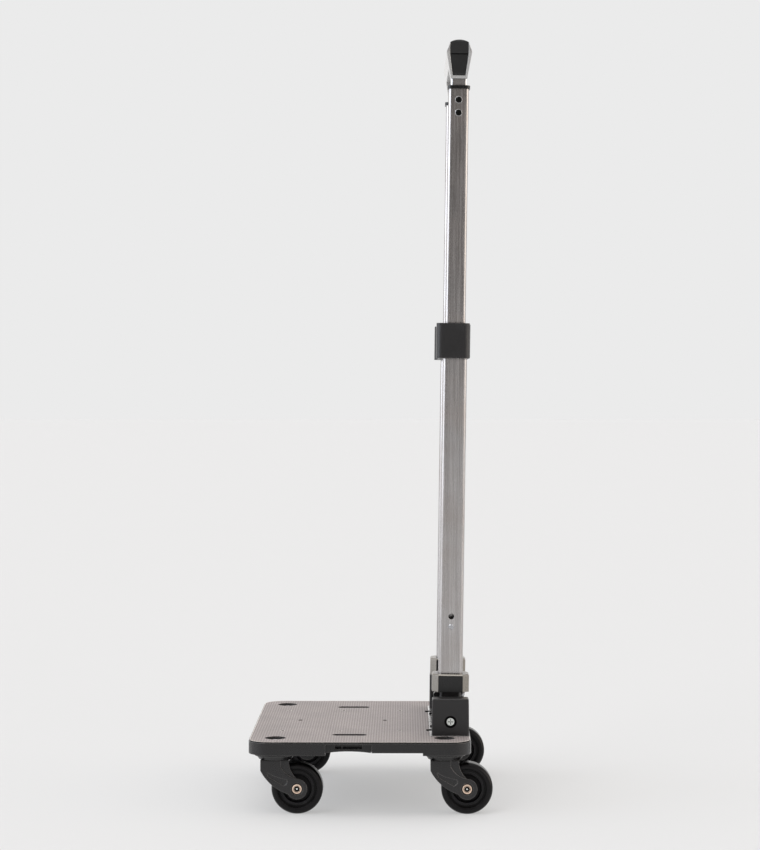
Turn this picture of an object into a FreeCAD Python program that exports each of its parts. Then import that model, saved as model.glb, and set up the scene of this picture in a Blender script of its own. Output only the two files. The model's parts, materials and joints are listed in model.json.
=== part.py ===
import FreeCAD, Part
import math
import os
import re

import Sketcher

# Folding platform cart with a telescoping two-post handle and four swivel casters.
#
# Axes: X runs from the deck's front edge (-X) to the handle end (+X), Y across the
# cart (the pusher's left is -Y) and Z up from the ground. The origin is on the
# ground, midway between the front edge of the deck and the back of the rear wheels.
# Mast and handle pieces are drawn upright in the mast frame, whose origin is the
# fold axis, and are then leaned back with the mast. Sizes are in millimetres.

DRIVING = {
    # deck
    "deck_length": 280.0,
    "deck_width": 390.0,
    "deck_corner": 28.0,
    "deck_top": 94.5,
    "sheet_thickness": 1.5,
    "sheet_margin": 1.2,
    "base_height": 15.3,
    "base_wall": 3.0,
    "rib_thickness": 2.0,
    "rib_lift": 2.5,
    "rib_pitch": 44.0,
    "skirt_step": 3.4,
    "skirt_step_length": 64.0,
    "grip_offset": 13.75,
    "grip_recess_length": 58.0,
    "grip_recess_depth": 9.0,
    "grip_window_length": 34.0,
    "grip_window_height": 6.0,
    "grip_arch_rise": 2.1,
    "slot_length": 44.0,
    "slot_width": 13.0,
    "slot_spread": 260.0,
    "fixing_hole": 4.0,
    "fixing_spread": 190.0,
    "fixing_front": 101.0,
    "fixing_middle": 27.0,
    "fixing_rear": 50.0,
    "boss_wall": 2.5,
    "screw_seat": 3.0,
    "screw_head": 7.5,
    "screw_head_height": 2.5,
    "low_head": 1.8,
    "hex_socket": 2.5,
    # casters
    "caster_spread_length": 214.0,
    "caster_spread_width": 314.0,
    "caster_boss": 52.5,
    "caster_trail": 28.0,
    "wheel_diameter": 65.0,
    "wheel_width": 23.0,
    "tread_height": 11.0,
    "tread_corner": 4.0,
    "hub_web": 9.0,
    "hub_core": 19.0,
    "cup_disc": 4.2,
    "cup_cone": 4.5,
    "cup_bottom": 42.0,
    "cup_flare": 6.0,
    "cup_gap": 0.5,
    "kingpin_diameter": 10.0,
    "kingpin_reach": 7.5,
    "kingpin_well": 26.0,
    "kingpin_well_depth": 10.5,
    "kingpin_washer": 23.0,
    "kingpin_nut": 17.0,
    "washer_thickness": 1.6,
    "nut_height": 5.0,
    "fork_arm": 4.5,
    "fork_crown": 36.0,
    "fork_boss": 26.0,
    "fork_front_web": 4.5,
    "fork_panel_depth": 0.7,
    "fork_brow": 13.0,
    "fork_nape": 4.0,
    "fork_sweep": 60.0,
    "fork_boss_start": 30.0,
    "panel_margin": 4.0,
    "panel_sweep": 65.0,
    "panel_end": 5.5,
    "arm_sweep": 28.0,
    "arm_shoulder": 7.5,
    "arm_step": 2.0,
    "wheel_gap": 1.0,
    "axle_diameter": 8.0,
    "axle_head": 12.0,
    "axle_head_height": 1.7,
    "axle_socket": 7.0,
    "axle_well": 15.0,
    "axle_well_depth": 2.0,
    # fold hinge
    "plate_front": 88.5,
    "plate_thickness": 2.0,
    "plate_length": 50.0,
    "plate_notch": 16.0,
    "plate_notch_depth": 7.0,
    "block_outer": 142.0,
    "block_width": 24.0,
    "block_length": 47.5,
    "block_height": 46.9,
    "block_round": 2.0,
    "block_screw_spread": 30.0,
    "block_screw_inset": 6.0,
    "block_screw_reach": 13.0,
    "plate_screw": 2.0,
    "plate_screw_inset": 4.5,
    "plate_screw_reach": 5.0,
    "pivot_offset": 114.7,
    "pivot_height": 112.8,
    "crossbar_diameter": 30.0,
    "journal_diameter": 16.0,
    "journal_length": 18.0,
    "screw_well": 14.0,
    "screw_well_depth": 4.0,
    "pivot_screw_head": 10.0,
    "pivot_screw_shank": 5.0,
    "pivot_head_height": 2.4,
    "pivot_bore": 10.0,
    "cross_length": 6.8,
    "cross_width": 1.2,
    # mast
    "lean_angle": 0.8,
    "post_spread": 176.0,
    "outer_depth": 31.0,
    "outer_width": 27.0,
    "outer_corner": 5.5,
    "outer_wall": 1.6,
    "outer_length": 438.0,
    "collar_depth": 47.5,
    "collar_width": 42.0,
    "collar_height": 22.5,
    "collar_bevel": 8.0,
    "collar_lift": 33.7,
    "collar_floor": 3.3,
    "collar_edge": 1.6,
    "cover_depth": 31.0,
    "cover_sink": 2.0,
    "cover_proud": 0.2,
    "saddle_lift": 6.0,
    "plug_wall": 4.0,
    "plug_foot": 24.0,
    "plug_length": 88.0,
    "plug_rivet": 80.2,
    "sight_hole": 7.5,
    "sight_hole_step": 13.0,
    "rivet_head": 7.0,
    "rivet_shank": 4.0,
    "rivet_rise": 1.2,
    "bracket_height": 45.0,
    "bracket_depth": 42.5,
    "bracket_width": 37.0,
    "bracket_offset": 2.9,
    "bracket_corner": 8.0,
    "bracket_base": 462.2,
    "bracket_bulge": 20.0,
    "bracket_cover": 4.0,
    "bracket_wall": 3.0,
    "beam_setback": 4.0,
    "cover_round": 1.8,
    "cover_screw": 3.0,
    "cover_screw_head": 6.4,
    "cover_screw_reach": 10.0,
    "bush_flange": 2.0,
    "bush_wall": 2.0,
    "bush_skirt": 24.0,
    # fold release
    "tab_width": 13.0,
    "tab_height": 8.5,
    "tab_lift": 22.5,
    "tab_reach": 21.3,
    "tab_travel": 3.0,
    "tab_pocket": 9.0,
    "tab_bevel": 1.5,
    "stud_diameter": 5.0,
    "stud_lift": 29.2,
    "stud_reach": 19.0,
    "stud_head": 6.4,
    # handle
    "inner_depth": 26.0,
    "inner_width": 22.0,
    "inner_corner": 5.0,
    "inner_wall": 1.5,
    "inner_length": 411.0,
    "inner_top": 808.2,
    "glide_height": 10.0,
    "glide_spigot": 17.0,
    "cap_height": 4.0,
    "cap_rim": 1.5,
    "neck_depth": 21.0,
    "neck_width": 17.0,
    "neck_height": 9.0,
    "neck_spigot": 42.0,
    "neck_rivet": 31.0,
    "neck_rivet_pitch": 16.5,
    "neck_rivet_head": 7.7,
    "neck_rivet_grip": 5.5,
    "grip_height": 49.5,
    "grip_half_length": 101.0,
    "grip_foot_depth": 21.0,
    "grip_depth": 32.7,
    "grip_shoulder": 34.0,
    "grip_seam": 31.0,
    "grip_pad_line": 46.0,
    "grip_bar_base": 16.0,
    "grip_leg": 12.0,
    "grip_draft": 3.0,
    "grip_knee": 8.0,
    "grip_round": 5.0,
    "pad_width": 23.7,
    "tongue_depth": 3.0,
    "insert_foot": 15.4,
    "insert_top": 23.7,
    "insert_thickness": 1.6,
    "button_length": 44.0,
    "button_width": 14.0,
    "button_proud": 1.0,
    "button_foot": 2.5,
    "button_travel": 4.0,
    "yoke_thickness": 5.0,
    "yoke_width": 8.0,
    "rod_diameter": 4.0,
    "rod_well": 8.0,
    "pin_diameter": 6.0,
    # clearances
    "running_fit": 0.06,
    "seat_fit": 0.1,
    "free_gap": 0.3,
}

DERIVED = {
    "deck_shift": "(deck_length / 2 - caster_spread_length / 2 - caster_trail - wheel_diameter / 2) / 2",
    "base_top": "deck_top - sheet_thickness",
    "base_bottom": "base_top - base_height",
    "deck_front": "deck_shift - deck_length / 2",
    "deck_rear": "deck_shift + deck_length / 2",
    "deck_side": "deck_width / 2",
    "base_ceiling": "base_top - base_wall",
    "grip_centre": "deck_shift - grip_offset",
    "plate_start": "deck_shift + plate_front",
    "plate_top": "base_top + plate_thickness",
    "pivot_x": "deck_shift + pivot_offset",
    "block_inner": "block_outer - block_width",
    "block_top": "plate_top + block_height",
    "post_y": "post_spread / 2",
    "cup_bottom_z": "base_bottom - cup_disc - cup_cone",
    "crown_top": "cup_bottom_z - cup_gap",
    "kingpin_tip": "crown_top - kingpin_reach",
    "well_floor": "deck_top - kingpin_well_depth",
    "kingpin_top": "well_floor + 2 * washer_thickness + nut_height",
    "axle_z": "wheel_diameter / 2",
    "fork_half": "wheel_width / 2 + wheel_gap + fork_arm",
    "tyre_bore": "wheel_diameter / 2 - tread_height",
    "plug_depth": "outer_depth - 2 * outer_wall - 2 * seat_fit",
    "plug_width": "outer_width - 2 * outer_wall - 2 * seat_fit",
    "plug_corner": "outer_corner - outer_wall",
    "tube_base": "collar_lift + collar_floor",
    "cover_top": "collar_lift + collar_height - cover_sink",
    "tube_top": "tube_base + outer_length",
    "rivet_lift": "tube_base + plug_rivet",
    "bracket_top": "bracket_base + bracket_height",
    "bracket_front": "bracket_depth / 2 + bracket_offset",
    "bracket_back": "bracket_depth / 2 - bracket_offset",
    "inner_base": "inner_top - inner_length",
    "spigot_depth": "inner_depth - 2 * inner_wall - 2 * seat_fit",
    "spigot_width": "inner_width - 2 * inner_wall - 2 * seat_fit",
    "spigot_corner": "inner_corner - inner_wall",
    "glide_depth": "outer_depth - 2 * outer_wall - 2 * seat_fit",
    "glide_width": "outer_width - 2 * outer_wall - 2 * seat_fit",
    "neck_base": "inner_top + cap_height",
    "grip_base": "neck_base + neck_height",
    "grip_top": "grip_base + grip_height",
    "seam_z": "grip_base + grip_seam",
    "pad_z": "grip_base + grip_pad_line",
    "yoke_top": "pad_z - free_gap - button_foot",
}

SIDES = {"left": -1, "right": 1}
ENDS = {"front": -1, "rear": 1}
WORD = re.compile(r"[a-z_]+")
VECTOR = FreeCAD.Vector

doc = FreeCAD.newDocument("folding_platform_cart")
sheet = doc.addObject("Spreadsheet::Sheet", "Sizes")
for row, (alias, size) in enumerate(DRIVING.items(), 1):
    sheet.set(f"A{row}", alias)
    sheet.set(f"B{row}", str(size))
    sheet.setAlias(f"B{row}", alias)
doc.recompute()

parts = []


def expand(text):
    """Spell out derived sizes and point every driving size at the sheet."""
    def swap(match):
        word = match.group()
        if word in DERIVED:
            return "(" + expand(DERIVED[word]) + ")"
        if word in DRIVING:
            return "Sizes." + word
        return word
    return WORD.sub(swap, str(text))


def number(text):
    """Present value of a size, as a plain number."""
    return float(sheet.evalExpression(expand(text) + " * 1.0"))


def bind(item, name, text):
    item.setExpression(name, expand(text))


def place(item, x=0, y=0, z=0, turn=(0, 0, 1), angle="0"):
    """Bind an object's whole Placement: a shift and a turn about one axis."""
    spot = f"create(<<vector>>; {expand(x)}; {expand(y)}; {expand(z)})"
    axis = "create(<<vector>>; %s; %s; %s)" % turn
    spin = f"create(<<rotation>>; {axis}; {expand(angle)})"
    item.setExpression("Placement", f"create(<<placement>>; {spot}; {spin})")
    return item


def lean(item):
    """Put a piece drawn in the mast frame on the fold axis, leaned back."""
    return place(item, "pivot_x", 0, "pivot_height", (0, 1, 0), "lean_angle")


def keep(item, label):
    """Register an object as one finished sub-part."""
    item.Label = label
    parts.append(item)
    return item


def block(low, high):
    """Box between two corners, each given as three sizes."""
    item = doc.addObject("Part::Box", "Block")
    for name, axis in (("Length", 0), ("Width", 1), ("Height", 2)):
        bind(item, name, f"({high[axis]}) - ({low[axis]})")
    return place(item, *low)


def cylinder(diameter, length, start, along="z"):
    """Cylinder from a start point, along +X, +Y or +Z."""
    item = doc.addObject("Part::Cylinder", "Rod")
    bind(item, "Radius", f"({diameter}) / 2")
    bind(item, "Height", length)
    turns = {"z": ((0, 0, 1), "0"), "y": ((1, 0, 0), "-90"), "x": ((0, 1, 0), "90")}
    return place(item, *start, *turns[along])


def cone(bottom, top, length, start):
    item = doc.addObject("Part::Cone", "Cone")
    bind(item, "Radius1", f"({bottom}) / 2")
    bind(item, "Radius2", f"({top}) / 2")
    bind(item, "Height", length)
    return place(item, *start)


def hexagon(across_flats, length, start):
    item = doc.addObject("Part::Prism", "Hexagon")
    item.Polygon = 6
    bind(item, "Circumradius", f"({across_flats}) / sqrt(3)")
    bind(item, "Height", length)
    return place(item, *start)


def fuse(*items):
    if len(items) == 1:
        return items[0]
    item = doc.addObject("Part::MultiFuse", "Union")
    item.Shapes = list(items)
    return item


def group(items):
    """Separate solids of one node, such as a set of screws."""
    item = doc.addObject("Part::Compound", "Group")
    item.Links = list(items)
    return item


def group_of(item):
    """Wrap one placed solid so that the mast's lean can be bound to it."""
    return group([item])


def cut(base, *tools):
    item = doc.addObject("Part::Cut", "Cut")
    item.Base = base
    item.Tool = fuse(*tools)
    return item


def common(*items):
    item = doc.addObject("Part::MultiCommon", "Overlap")
    item.Shapes = list(items)
    return item


def new_sketch(role):
    body = doc.addObject("PartDesign::Body", "Body")
    sketch = body.newObject("Sketcher::SketchObject", "Sketch")
    plane = [item for item in body.Origin.OriginFeatures if item.Role == role][0]
    sketch.AttachmentSupport = (plane, "")
    sketch.MapMode = "FlatFace"
    return body, sketch


def measure(sketch, kind, target, text, name):
    """Add one driven dimension and bind it to its size."""
    place_at = sketch.addConstraint(Sketcher.Constraint(kind, *target, number(text)))
    sketch.renameConstraint(place_at, name)
    bind(sketch, "Constraints." + name, text)


def rounded_rectangle(sketch, length, width, corner, mark):
    """Rounded rectangle about the sketch origin: four arcs joined by four lines."""
    half_x, half_y, radius = number(length) / 2, number(width) / 2, number(corner)
    centres = [(1, 1), (-1, 1), (-1, -1), (1, -1)]
    arcs = []
    for quarter, (sign_x, sign_y) in enumerate(centres):
        middle = VECTOR(sign_x * (half_x - radius), sign_y * (half_y - radius), 0)
        circle = Part.Circle(middle, VECTOR(0, 0, 1), radius)
        begin = quarter * math.pi / 2
        arcs.append(sketch.addGeometry(Part.ArcOfCircle(circle, begin, begin + math.pi / 2)))
    for quarter, (sign_x, sign_y) in enumerate(centres):
        arc, after = arcs[quarter], arcs[(quarter + 1) % 4]
        ends = sketch.getPoint(arc, 2), sketch.getPoint(after, 1)
        line = sketch.addGeometry(Part.LineSegment(*ends))
        sketch.addConstraint(Sketcher.Constraint("Tangent", arc, 2, line, 1))
        sketch.addConstraint(Sketcher.Constraint("Tangent", line, 2, after, 1))
        reach_x = f"{sign_x} * (({length}) / 2 - ({corner}))"
        reach_y = f"{sign_y} * (({width}) / 2 - ({corner}))"
        measure(sketch, "DistanceX", (-1, 1, arc, 3), reach_x, f"{mark}_x{quarter}")
        measure(sketch, "DistanceY", (-1, 1, arc, 3), reach_y, f"{mark}_y{quarter}")
        measure(sketch, "Radius", (arc,), corner, f"{mark}_r{quarter}")


def pad(body, sketch, length):
    item = body.newObject("PartDesign::Pad", "Pad")
    item.Profile = sketch
    bind(item, "Length", length)
    return body


def plate(length, width, corner, height, at, wall=None):
    """Upright rounded bar or tube, centred on a start point."""
    body, sketch = new_sketch("XY_Plane")
    rounded_rectangle(sketch, length, width, corner, "outer")
    if wall:
        inside = [f"({size}) - 2 * ({wall})" for size in (length, width)]
        rounded_rectangle(sketch, *inside, f"({corner}) - ({wall})", "inner")
    return place(pad(body, sketch, height), *at)


def outline(sketch, corners):
    """Closed outline. A corner is (x, y), or (x, y, radius) where an arc leads on
    to the next corner: a positive radius turns left, a negative one right."""
    spots = [VECTOR(number(corner[0]), number(corner[1]), 0) for corner in corners]
    edges = []
    for here, corner in enumerate(corners):
        start, end = spots[here], spots[(here + 1) % len(spots)]
        if len(corner) == 2:
            edges.append((sketch.addGeometry(Part.LineSegment(start, end)), 1, 2))
            continue
        radius = number(corner[2])
        chord = end - start
        normal = VECTOR(-chord.y, chord.x, 0).normalize()
        lift = math.sqrt(max(radius ** 2 - (chord.Length / 2) ** 2, 0))
        middle = (start + end) * 0.5 + normal * math.copysign(lift, radius)
        first, last = (start, end) if radius > 0 else (end, start)
        angles = [math.atan2(spot.y - middle.y, spot.x - middle.x) for spot in (first, last)]
        if angles[1] < angles[0]:
            angles[1] += 2 * math.pi
        arc = Part.ArcOfCircle(Part.Circle(middle, VECTOR(0, 0, 1), abs(radius)), *angles)
        points = (1, 2) if radius > 0 else (2, 1)
        edges.append((sketch.addGeometry(arc), *points))
        measure(sketch, "Radius", (edges[-1][0],), f"abs({corner[2]})", f"bend_{here}")
    for here, (edge, begin, finish) in enumerate(edges):
        after, after_begin, _ = edges[(here + 1) % len(edges)]
        joint = Sketcher.Constraint("Coincident", edge, finish, after, after_begin)
        sketch.addConstraint(joint)
        measure(sketch, "DistanceX", (-1, 1, edge, begin), corners[here][0], f"corner_x{here}")
        measure(sketch, "DistanceY", (-1, 1, edge, begin), corners[here][1], f"corner_y{here}")


def profile_along_y(corners, half_width, centre="0"):
    """Side outline in X and Z, extruded across the cart about a centre line."""
    body, sketch = new_sketch("XZ_Plane")
    outline(sketch, corners)
    pad(body, sketch, f"2 * ({half_width})")
    return place(body, 0, f"({centre}) + ({half_width})", 0)


def profile_along_x(corners, half_depth):
    """Front outline in Y and Z, extruded fore and aft about the mast frame."""
    body, sketch = new_sketch("YZ_Plane")
    outline(sketch, corners)
    pad(body, sketch, f"2 * ({half_depth})")
    return place(body, f"-({half_depth})", 0, 0)


def turned(corners, axis_plane="XZ_Plane"):
    """Revolved piece: outline of radius against height, about the vertical axis.
    With XY_Plane the axis lies along Y."""
    body, sketch = new_sketch(axis_plane)
    outline(sketch, corners)
    item = body.newObject("PartDesign::Revolution", "Revolution")
    item.Profile = sketch
    item.ReferenceAxis = (sketch, ["V_Axis"])
    item.Angle = 360.0
    return body


def soften(body, name, size, chosen):
    """Round the body's edges for which chosen(middle, direction) holds."""
    doc.recompute()
    base = body.Tip
    picked = []
    for index, edge in enumerate(base.Shape.Edges, 1):
        middle = edge.CenterOfMass
        direction = edge.tangentAt(edge.FirstParameter)
        if chosen(middle, direction):
            picked.append(f"Edge{index}")
    item = body.newObject("PartDesign::" + name, name)
    item.Base = (base, picked)
    bind(item, "Radius" if name == "Fillet" else "Size", size)
    body.Tip = item
    return body


def deck_rectangle(length, width, corner, height, low):
    """Rounded plate centred on the deck."""
    return plate(length, width, corner, height, ("deck_shift", 0, low))


def caster_spots():
    """Label, X and Y of the four caster swivel axes."""
    for end, sign_x in ENDS.items():
        for side, sign_y in SIDES.items():
            along = f"deck_shift + {sign_x} * caster_spread_length / 2"
            yield f"{end}_{side}", along, f"{sign_y} * caster_spread_width / 2"


def fixing_spots():
    """X and Y of the six small holes through the deck."""
    for along in ("-fixing_front", "-fixing_middle", "fixing_rear"):
        for sign_y in SIDES.values():
            yield f"deck_shift + {along}", f"{sign_y} * fixing_spread / 2"


def block_screw_spots():
    """X and Y of the screws that hold the end blocks down."""
    for sign_x in ENDS.values():
        for sign_y in SIDES.values():
            yield (f"pivot_x + {sign_x} * block_screw_spread / 2",
                   f"{sign_y} * (block_inner + block_screw_inset)")


def plate_screw_spots():
    """X and Y of the screws through the bare middle of the hinge plate."""
    for along in ("plate_start + plate_screw_inset",
                  "plate_start + plate_length - plate_screw_inset"):
        for sign_y in SIDES.values():
            yield along, f"{sign_y} * post_spread / 3"


def deck_slots(low, high):
    """The two long slots, from one height to another."""
    for sign_y in SIDES.values():
        at = ("grip_centre", f"{sign_y} * slot_spread / 2", low)
        yield plate("slot_length", "slot_width", "slot_width / 2 - 0.01", f"({high}) - ({low})", at)


def tab_notches(low, high):
    """Clearance for the fold tabs in the plate's front edge."""
    for sign_y in SIDES.values():
        middle = f"{sign_y} * post_y"
        yield block(("plate_start - 4", f"{middle} - plate_notch / 2", low),
                    ("plate_start + plate_notch_depth", f"{middle} + plate_notch / 2", high))


def ordered(sign, inner, outer):
    """Y of two distances from the centre line on one side, lower first."""
    pair = (f"{sign} * ({inner})", f"{sign} * ({outer})")
    return pair if sign > 0 else pair[::-1]


def side_panel(sign):
    """Inner wall behind a side hand grip, before its recess is cut."""
    low_y, high_y = ordered(sign, "deck_side - grip_recess_depth - base_wall",
                            "deck_side - base_wall / 2")
    reach = "grip_recess_length / 2 + base_wall"
    return block((f"grip_centre - ({reach})", low_y, "base_bottom"),
                 (f"grip_centre + ({reach})", high_y, "base_top"))


def side_recess(sign):
    """Hand-grip recess in one side, its finger window and its arched lower edge."""
    span = "grip_recess_length / 2"
    back = "deck_side - grip_recess_depth"
    recess = ordered(sign, back, "deck_side + 1")
    window = ordered(sign, f"{back} - base_wall - 1", f"{back} + 1")
    step = ordered(sign, f"{back} - base_wall - 1", "deck_side + 1")
    tools = [
        block((f"grip_centre - {span}", recess[0], "base_bottom - 1"),
              (f"grip_centre + {span}", recess[1], "base_ceiling + base_wall / 2")),
        block(("grip_centre - grip_window_length / 2", window[0],
               "base_ceiling + 1 - grip_window_height"),
              ("grip_centre + grip_window_length / 2", window[1], "base_ceiling + 1")),
        block((f"grip_centre + {span} - 1", step[0], "base_bottom - 1"),
              (f"grip_centre + {span} + skirt_step_length", step[1],
               "base_bottom + skirt_step")),
    ]
    arch_radius = "(grip_recess_length ^ 2 / (8 * grip_arch_rise) + grip_arch_rise / 2)"
    arch = cylinder(f"2 * {arch_radius}", "grip_recess_depth + base_wall + 2",
                    ("grip_centre", window[0], f"base_bottom + 2 * grip_arch_rise - {arch_radius}"),
                    "y")
    return tools + [arch]


def make_deck_base():
    """Moulded base: skirt, ribs, caster bosses, grips and holes."""
    shell = cut(
        deck_rectangle("deck_length", "deck_width", "deck_corner", "base_height", "base_bottom"),
        deck_rectangle("deck_length - 2 * base_wall", "deck_width - 2 * base_wall",
                       "deck_corner - base_wall", "base_height - base_wall + 1",
                       "base_bottom - 1"))
    solids = [shell] + [side_panel(sign) for sign in SIDES.values()]
    inset = "base_wall / 2"
    for count in range(-4, 5):
        middle = f"{count} * rib_pitch"
        solids.append(block(
            (f"deck_front + {inset}", f"{middle} - rib_thickness / 2", "base_bottom + rib_lift"),
            (f"deck_rear - {inset}", f"{middle} + rib_thickness / 2", "base_ceiling + 1")))
    for count in range(-2, 4):
        middle = f"deck_shift + ({count} - 0.5) * rib_pitch"
        solids.append(block(
            (f"{middle} - rib_thickness / 2", f"{inset} - deck_side", "base_bottom + rib_lift"),
            (f"{middle} + rib_thickness / 2", f"deck_side - {inset}", "base_ceiling + 1")))
    for _, along, across in caster_spots():
        solids.append(cylinder("caster_boss", "base_height - base_wall / 2",
                               (along, across, "base_bottom")))
    for along, across in fixing_spots():
        solids.append(cylinder("fixing_hole + 2 * boss_wall", "base_height - base_wall / 2 - 1",
                               (along, across, "base_bottom + 1")))
    for along, across in list(block_screw_spots()) + list(plate_screw_spots()):
        solids.append(cylinder("rivet_shank + 2 * boss_wall + 2", "base_wall + screw_seat",
                               (along, across, "base_ceiling - screw_seat")))
    for sign in SIDES.values():
        at = ("grip_centre", f"{sign} * slot_spread / 2", "base_bottom + 1")
        solids.append(plate("slot_length + 2 * boss_wall", "slot_width + 2 * boss_wall",
                            "slot_width / 2 + boss_wall - 0.01", "base_height - base_wall / 2 - 1",
                            at))
    tools = list(deck_slots("base_bottom - 1", "deck_top + 1"))
    for sign in SIDES.values():
        tools += side_recess(sign)
    for _, along, across in caster_spots():
        tools.append(cylinder("kingpin_well", "kingpin_well_depth + 1",
                              (along, across, "well_floor")))
        tools.append(cylinder("kingpin_diameter + 2 * running_fit", "base_height + 2",
                              (along, across, "base_bottom - 1")))
    for along, across in fixing_spots():
        tools.append(cylinder("fixing_hole", "base_height + 2", (along, across, "base_bottom")))
    for along, across in block_screw_spots():
        tools.append(cylinder("rivet_shank + 2 * seat_fit", "base_height + 2",
                              (along, across, "base_bottom")))
    for along, across in plate_screw_spots():
        tools.append(cylinder("plate_screw + 2 * seat_fit", "base_height + 2",
                              (along, across, "base_bottom")))
    return keep(cut(fuse(*solids), *tools), "deck_base")


def make_deck_sheet():
    """Anti-slip top sheet, let in around the hinge plate."""
    blank = deck_rectangle("deck_length - 2 * sheet_margin", "deck_width - 2 * sheet_margin",
                           "deck_corner - sheet_margin", "sheet_thickness", "base_top")
    tools = list(deck_slots("base_top - 1", "deck_top + 1"))
    tools += tab_notches("base_top - 1", "deck_top + 1")
    for _, along, across in caster_spots():
        tools.append(cylinder("kingpin_well", "sheet_thickness + 2",
                              (along, across, "base_top - 1")))
    for along, across in fixing_spots():
        tools.append(cylinder("fixing_hole", "sheet_thickness + 2",
                              (along, across, "base_top - 1")))
    tools.append(block(("plate_start - seat_fit", "-block_outer - seat_fit", "base_top - 1"),
                       ("plate_start + plate_length + seat_fit", "block_outer + seat_fit",
                        "deck_top + 1")))
    return keep(cut(blank, *tools), "deck_sheet")


def make_hinge_plate():
    blank = block(("plate_start", "-block_outer", "base_top"),
                  ("plate_start + plate_length", "block_outer", "plate_top"))
    tools = list(tab_notches("base_top - 1", "plate_top + 1"))
    for _, along, across in caster_spots():
        tools.append(cylinder("kingpin_well", "plate_thickness + 2",
                              (along, across, "base_top - 1")))
    for along, across in block_screw_spots():
        tools.append(cylinder("rivet_shank + 2 * seat_fit", "plate_thickness + 2",
                              (along, across, "base_top - 1")))
    for along, across in plate_screw_spots():
        tools.append(cylinder("plate_screw + 2 * seat_fit", "plate_thickness + 2",
                              (along, across, "base_top - 1")))
    return keep(cut(blank, *tools), "hinge_base_plate")


def make_end_block(side, sign):
    """Block that carries one end of the folding crossbar."""
    body, sketch = new_sketch("XZ_Plane")
    half = "block_length / 2"
    outline(sketch, [(f"pivot_x - {half}", "plate_top"), (f"pivot_x + {half}", "plate_top"),
                     (f"pivot_x + {half} - 0.4", "block_top"),
                     (f"pivot_x - {half} + 0.4", "block_top")])
    pad(body, sketch, "block_width")
    soften(body, "Fillet", "block_round", lambda middle, way: abs(way.z) > 0.9
           or middle.z > number("block_top") - 0.01)
    start = "-block_inner" if sign < 0 else "block_outer"
    place(body, 0, start, 0)
    bore_start = "block_inner - 1" if sign > 0 else "-block_inner - journal_length - free_gap"
    well_start = "block_outer - screw_well_depth" if sign > 0 else "-block_outer - 1"
    hole_start = "block_inner" if sign > 0 else "-block_outer - 1"
    tools = [
        cylinder("journal_diameter + 2 * running_fit", "journal_length + free_gap + 1",
                 ("pivot_x", bore_start, "pivot_height"), "y"),
        cylinder("screw_well", "screw_well_depth + 1",
                 ("pivot_x", well_start, "pivot_height"), "y"),
        cylinder("pivot_screw_shank + 2 * free_gap", "block_width + 1",
                 ("pivot_x", hole_start, "pivot_height"), "y"),
    ]
    for along, across in block_screw_spots():
        tools.append(cylinder("rivet_shank + 2 * running_fit",
                              "block_screw_reach + free_gap + 1",
                              (along, across, "plate_top - 1")))
    return keep(cut(body, *tools), f"hinge_end_block_{side}")


def make_block_screws():
    """Screws driven up through base and plate into the end blocks."""
    head_low = "(base_ceiling - screw_seat - screw_head_height)"
    screws = []
    for along, across in block_screw_spots():
        screws.append(fuse(
            cylinder("screw_head", "screw_head_height", (along, across, head_low)),
            cylinder("rivet_shank", f"plate_top + block_screw_reach - {head_low}",
                     (along, across, head_low))))
    return keep(group(screws), "block_screws")


def make_plate_screws():
    """Low-headed screws that hold the hinge plate to the base."""
    screws = []
    for along, across in plate_screw_spots():
        head = cut(cylinder("rivet_head", "low_head", (along, across, "plate_top")),
                   hexagon("hex_socket", "low_head", (along, across, "plate_top + low_head / 2")))
        shank = cylinder("plate_screw", "plate_thickness + plate_screw_reach + low_head / 4",
                         (along, across, "base_top - plate_screw_reach"))
        screws.append(fuse(head, shank))
    return keep(group(screws), "plate_screws")


def make_race_cups():
    """Fixed caster cups under the deck, around the kingpins."""
    cups = []
    for _, along, across in caster_spots():
        body = fuse(cylinder("caster_boss", "cup_disc", (along, across, "base_bottom - cup_disc")),
                    cone("cup_bottom", "cup_bottom + cup_flare", "cup_cone",
                         (along, across, "cup_bottom_z")))
        cups.append(cut(body, cylinder("kingpin_diameter + 2 * running_fit",
                                       "cup_disc + cup_cone + 2",
                                       (along, across, "cup_bottom_z - 1"))))
    return keep(group(cups), "caster_race_cups")


def make_kingpins():
    """Caster kingpins, each with its washer and nut in the deck's well."""
    pins = []
    for _, along, across in caster_spots():
        washer = cylinder("kingpin_washer", "washer_thickness", (along, across, "well_floor"))
        nut = hexagon("kingpin_nut", "nut_height",
                      (along, across, "well_floor + washer_thickness"))
        pin = cylinder("kingpin_diameter", "kingpin_top - kingpin_tip",
                       (along, across, "kingpin_tip"))
        pins.append(fuse(washer, nut, pin))
    return keep(group(pins), "caster_kingpins")


def fork_outline():
    """Side view of the fork arms, from the crown round the axle boss."""
    crown, boss = "fork_crown / 2", "fork_boss / 2"
    return [
        (f"-{crown}", "crown_top"),
        (f"-{crown}", "crown_top - fork_brow", "fork_sweep"),
        (f"caster_trail - {boss} * cos(fork_boss_start)",
         f"axle_z - {boss} * sin(fork_boss_start)", boss),
        (f"caster_trail + {boss}", "axle_z", boss),
        ("caster_trail", f"axle_z + {boss}", "-arm_sweep"),
        ("arm_shoulder", "crown_top - 2 * fork_nape"),
        ("arm_shoulder", "crown_top"),
    ]


def crown_outline():
    """Side view of the crown between the arms, down over the wheel."""
    crown = "fork_crown / 2"
    return [
        (f"-{crown}", "crown_top"),
        (f"-{crown}", "crown_top - fork_brow + 1"),
        ("caster_trail - 2", "axle_z + fork_boss / 2 - 2"),
        ("caster_trail + 1", "axle_z + fork_boss / 2 - 1", "-arm_sweep"),
        (crown, "crown_top - fork_nape"),
        (crown, "crown_top"),
    ]


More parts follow.
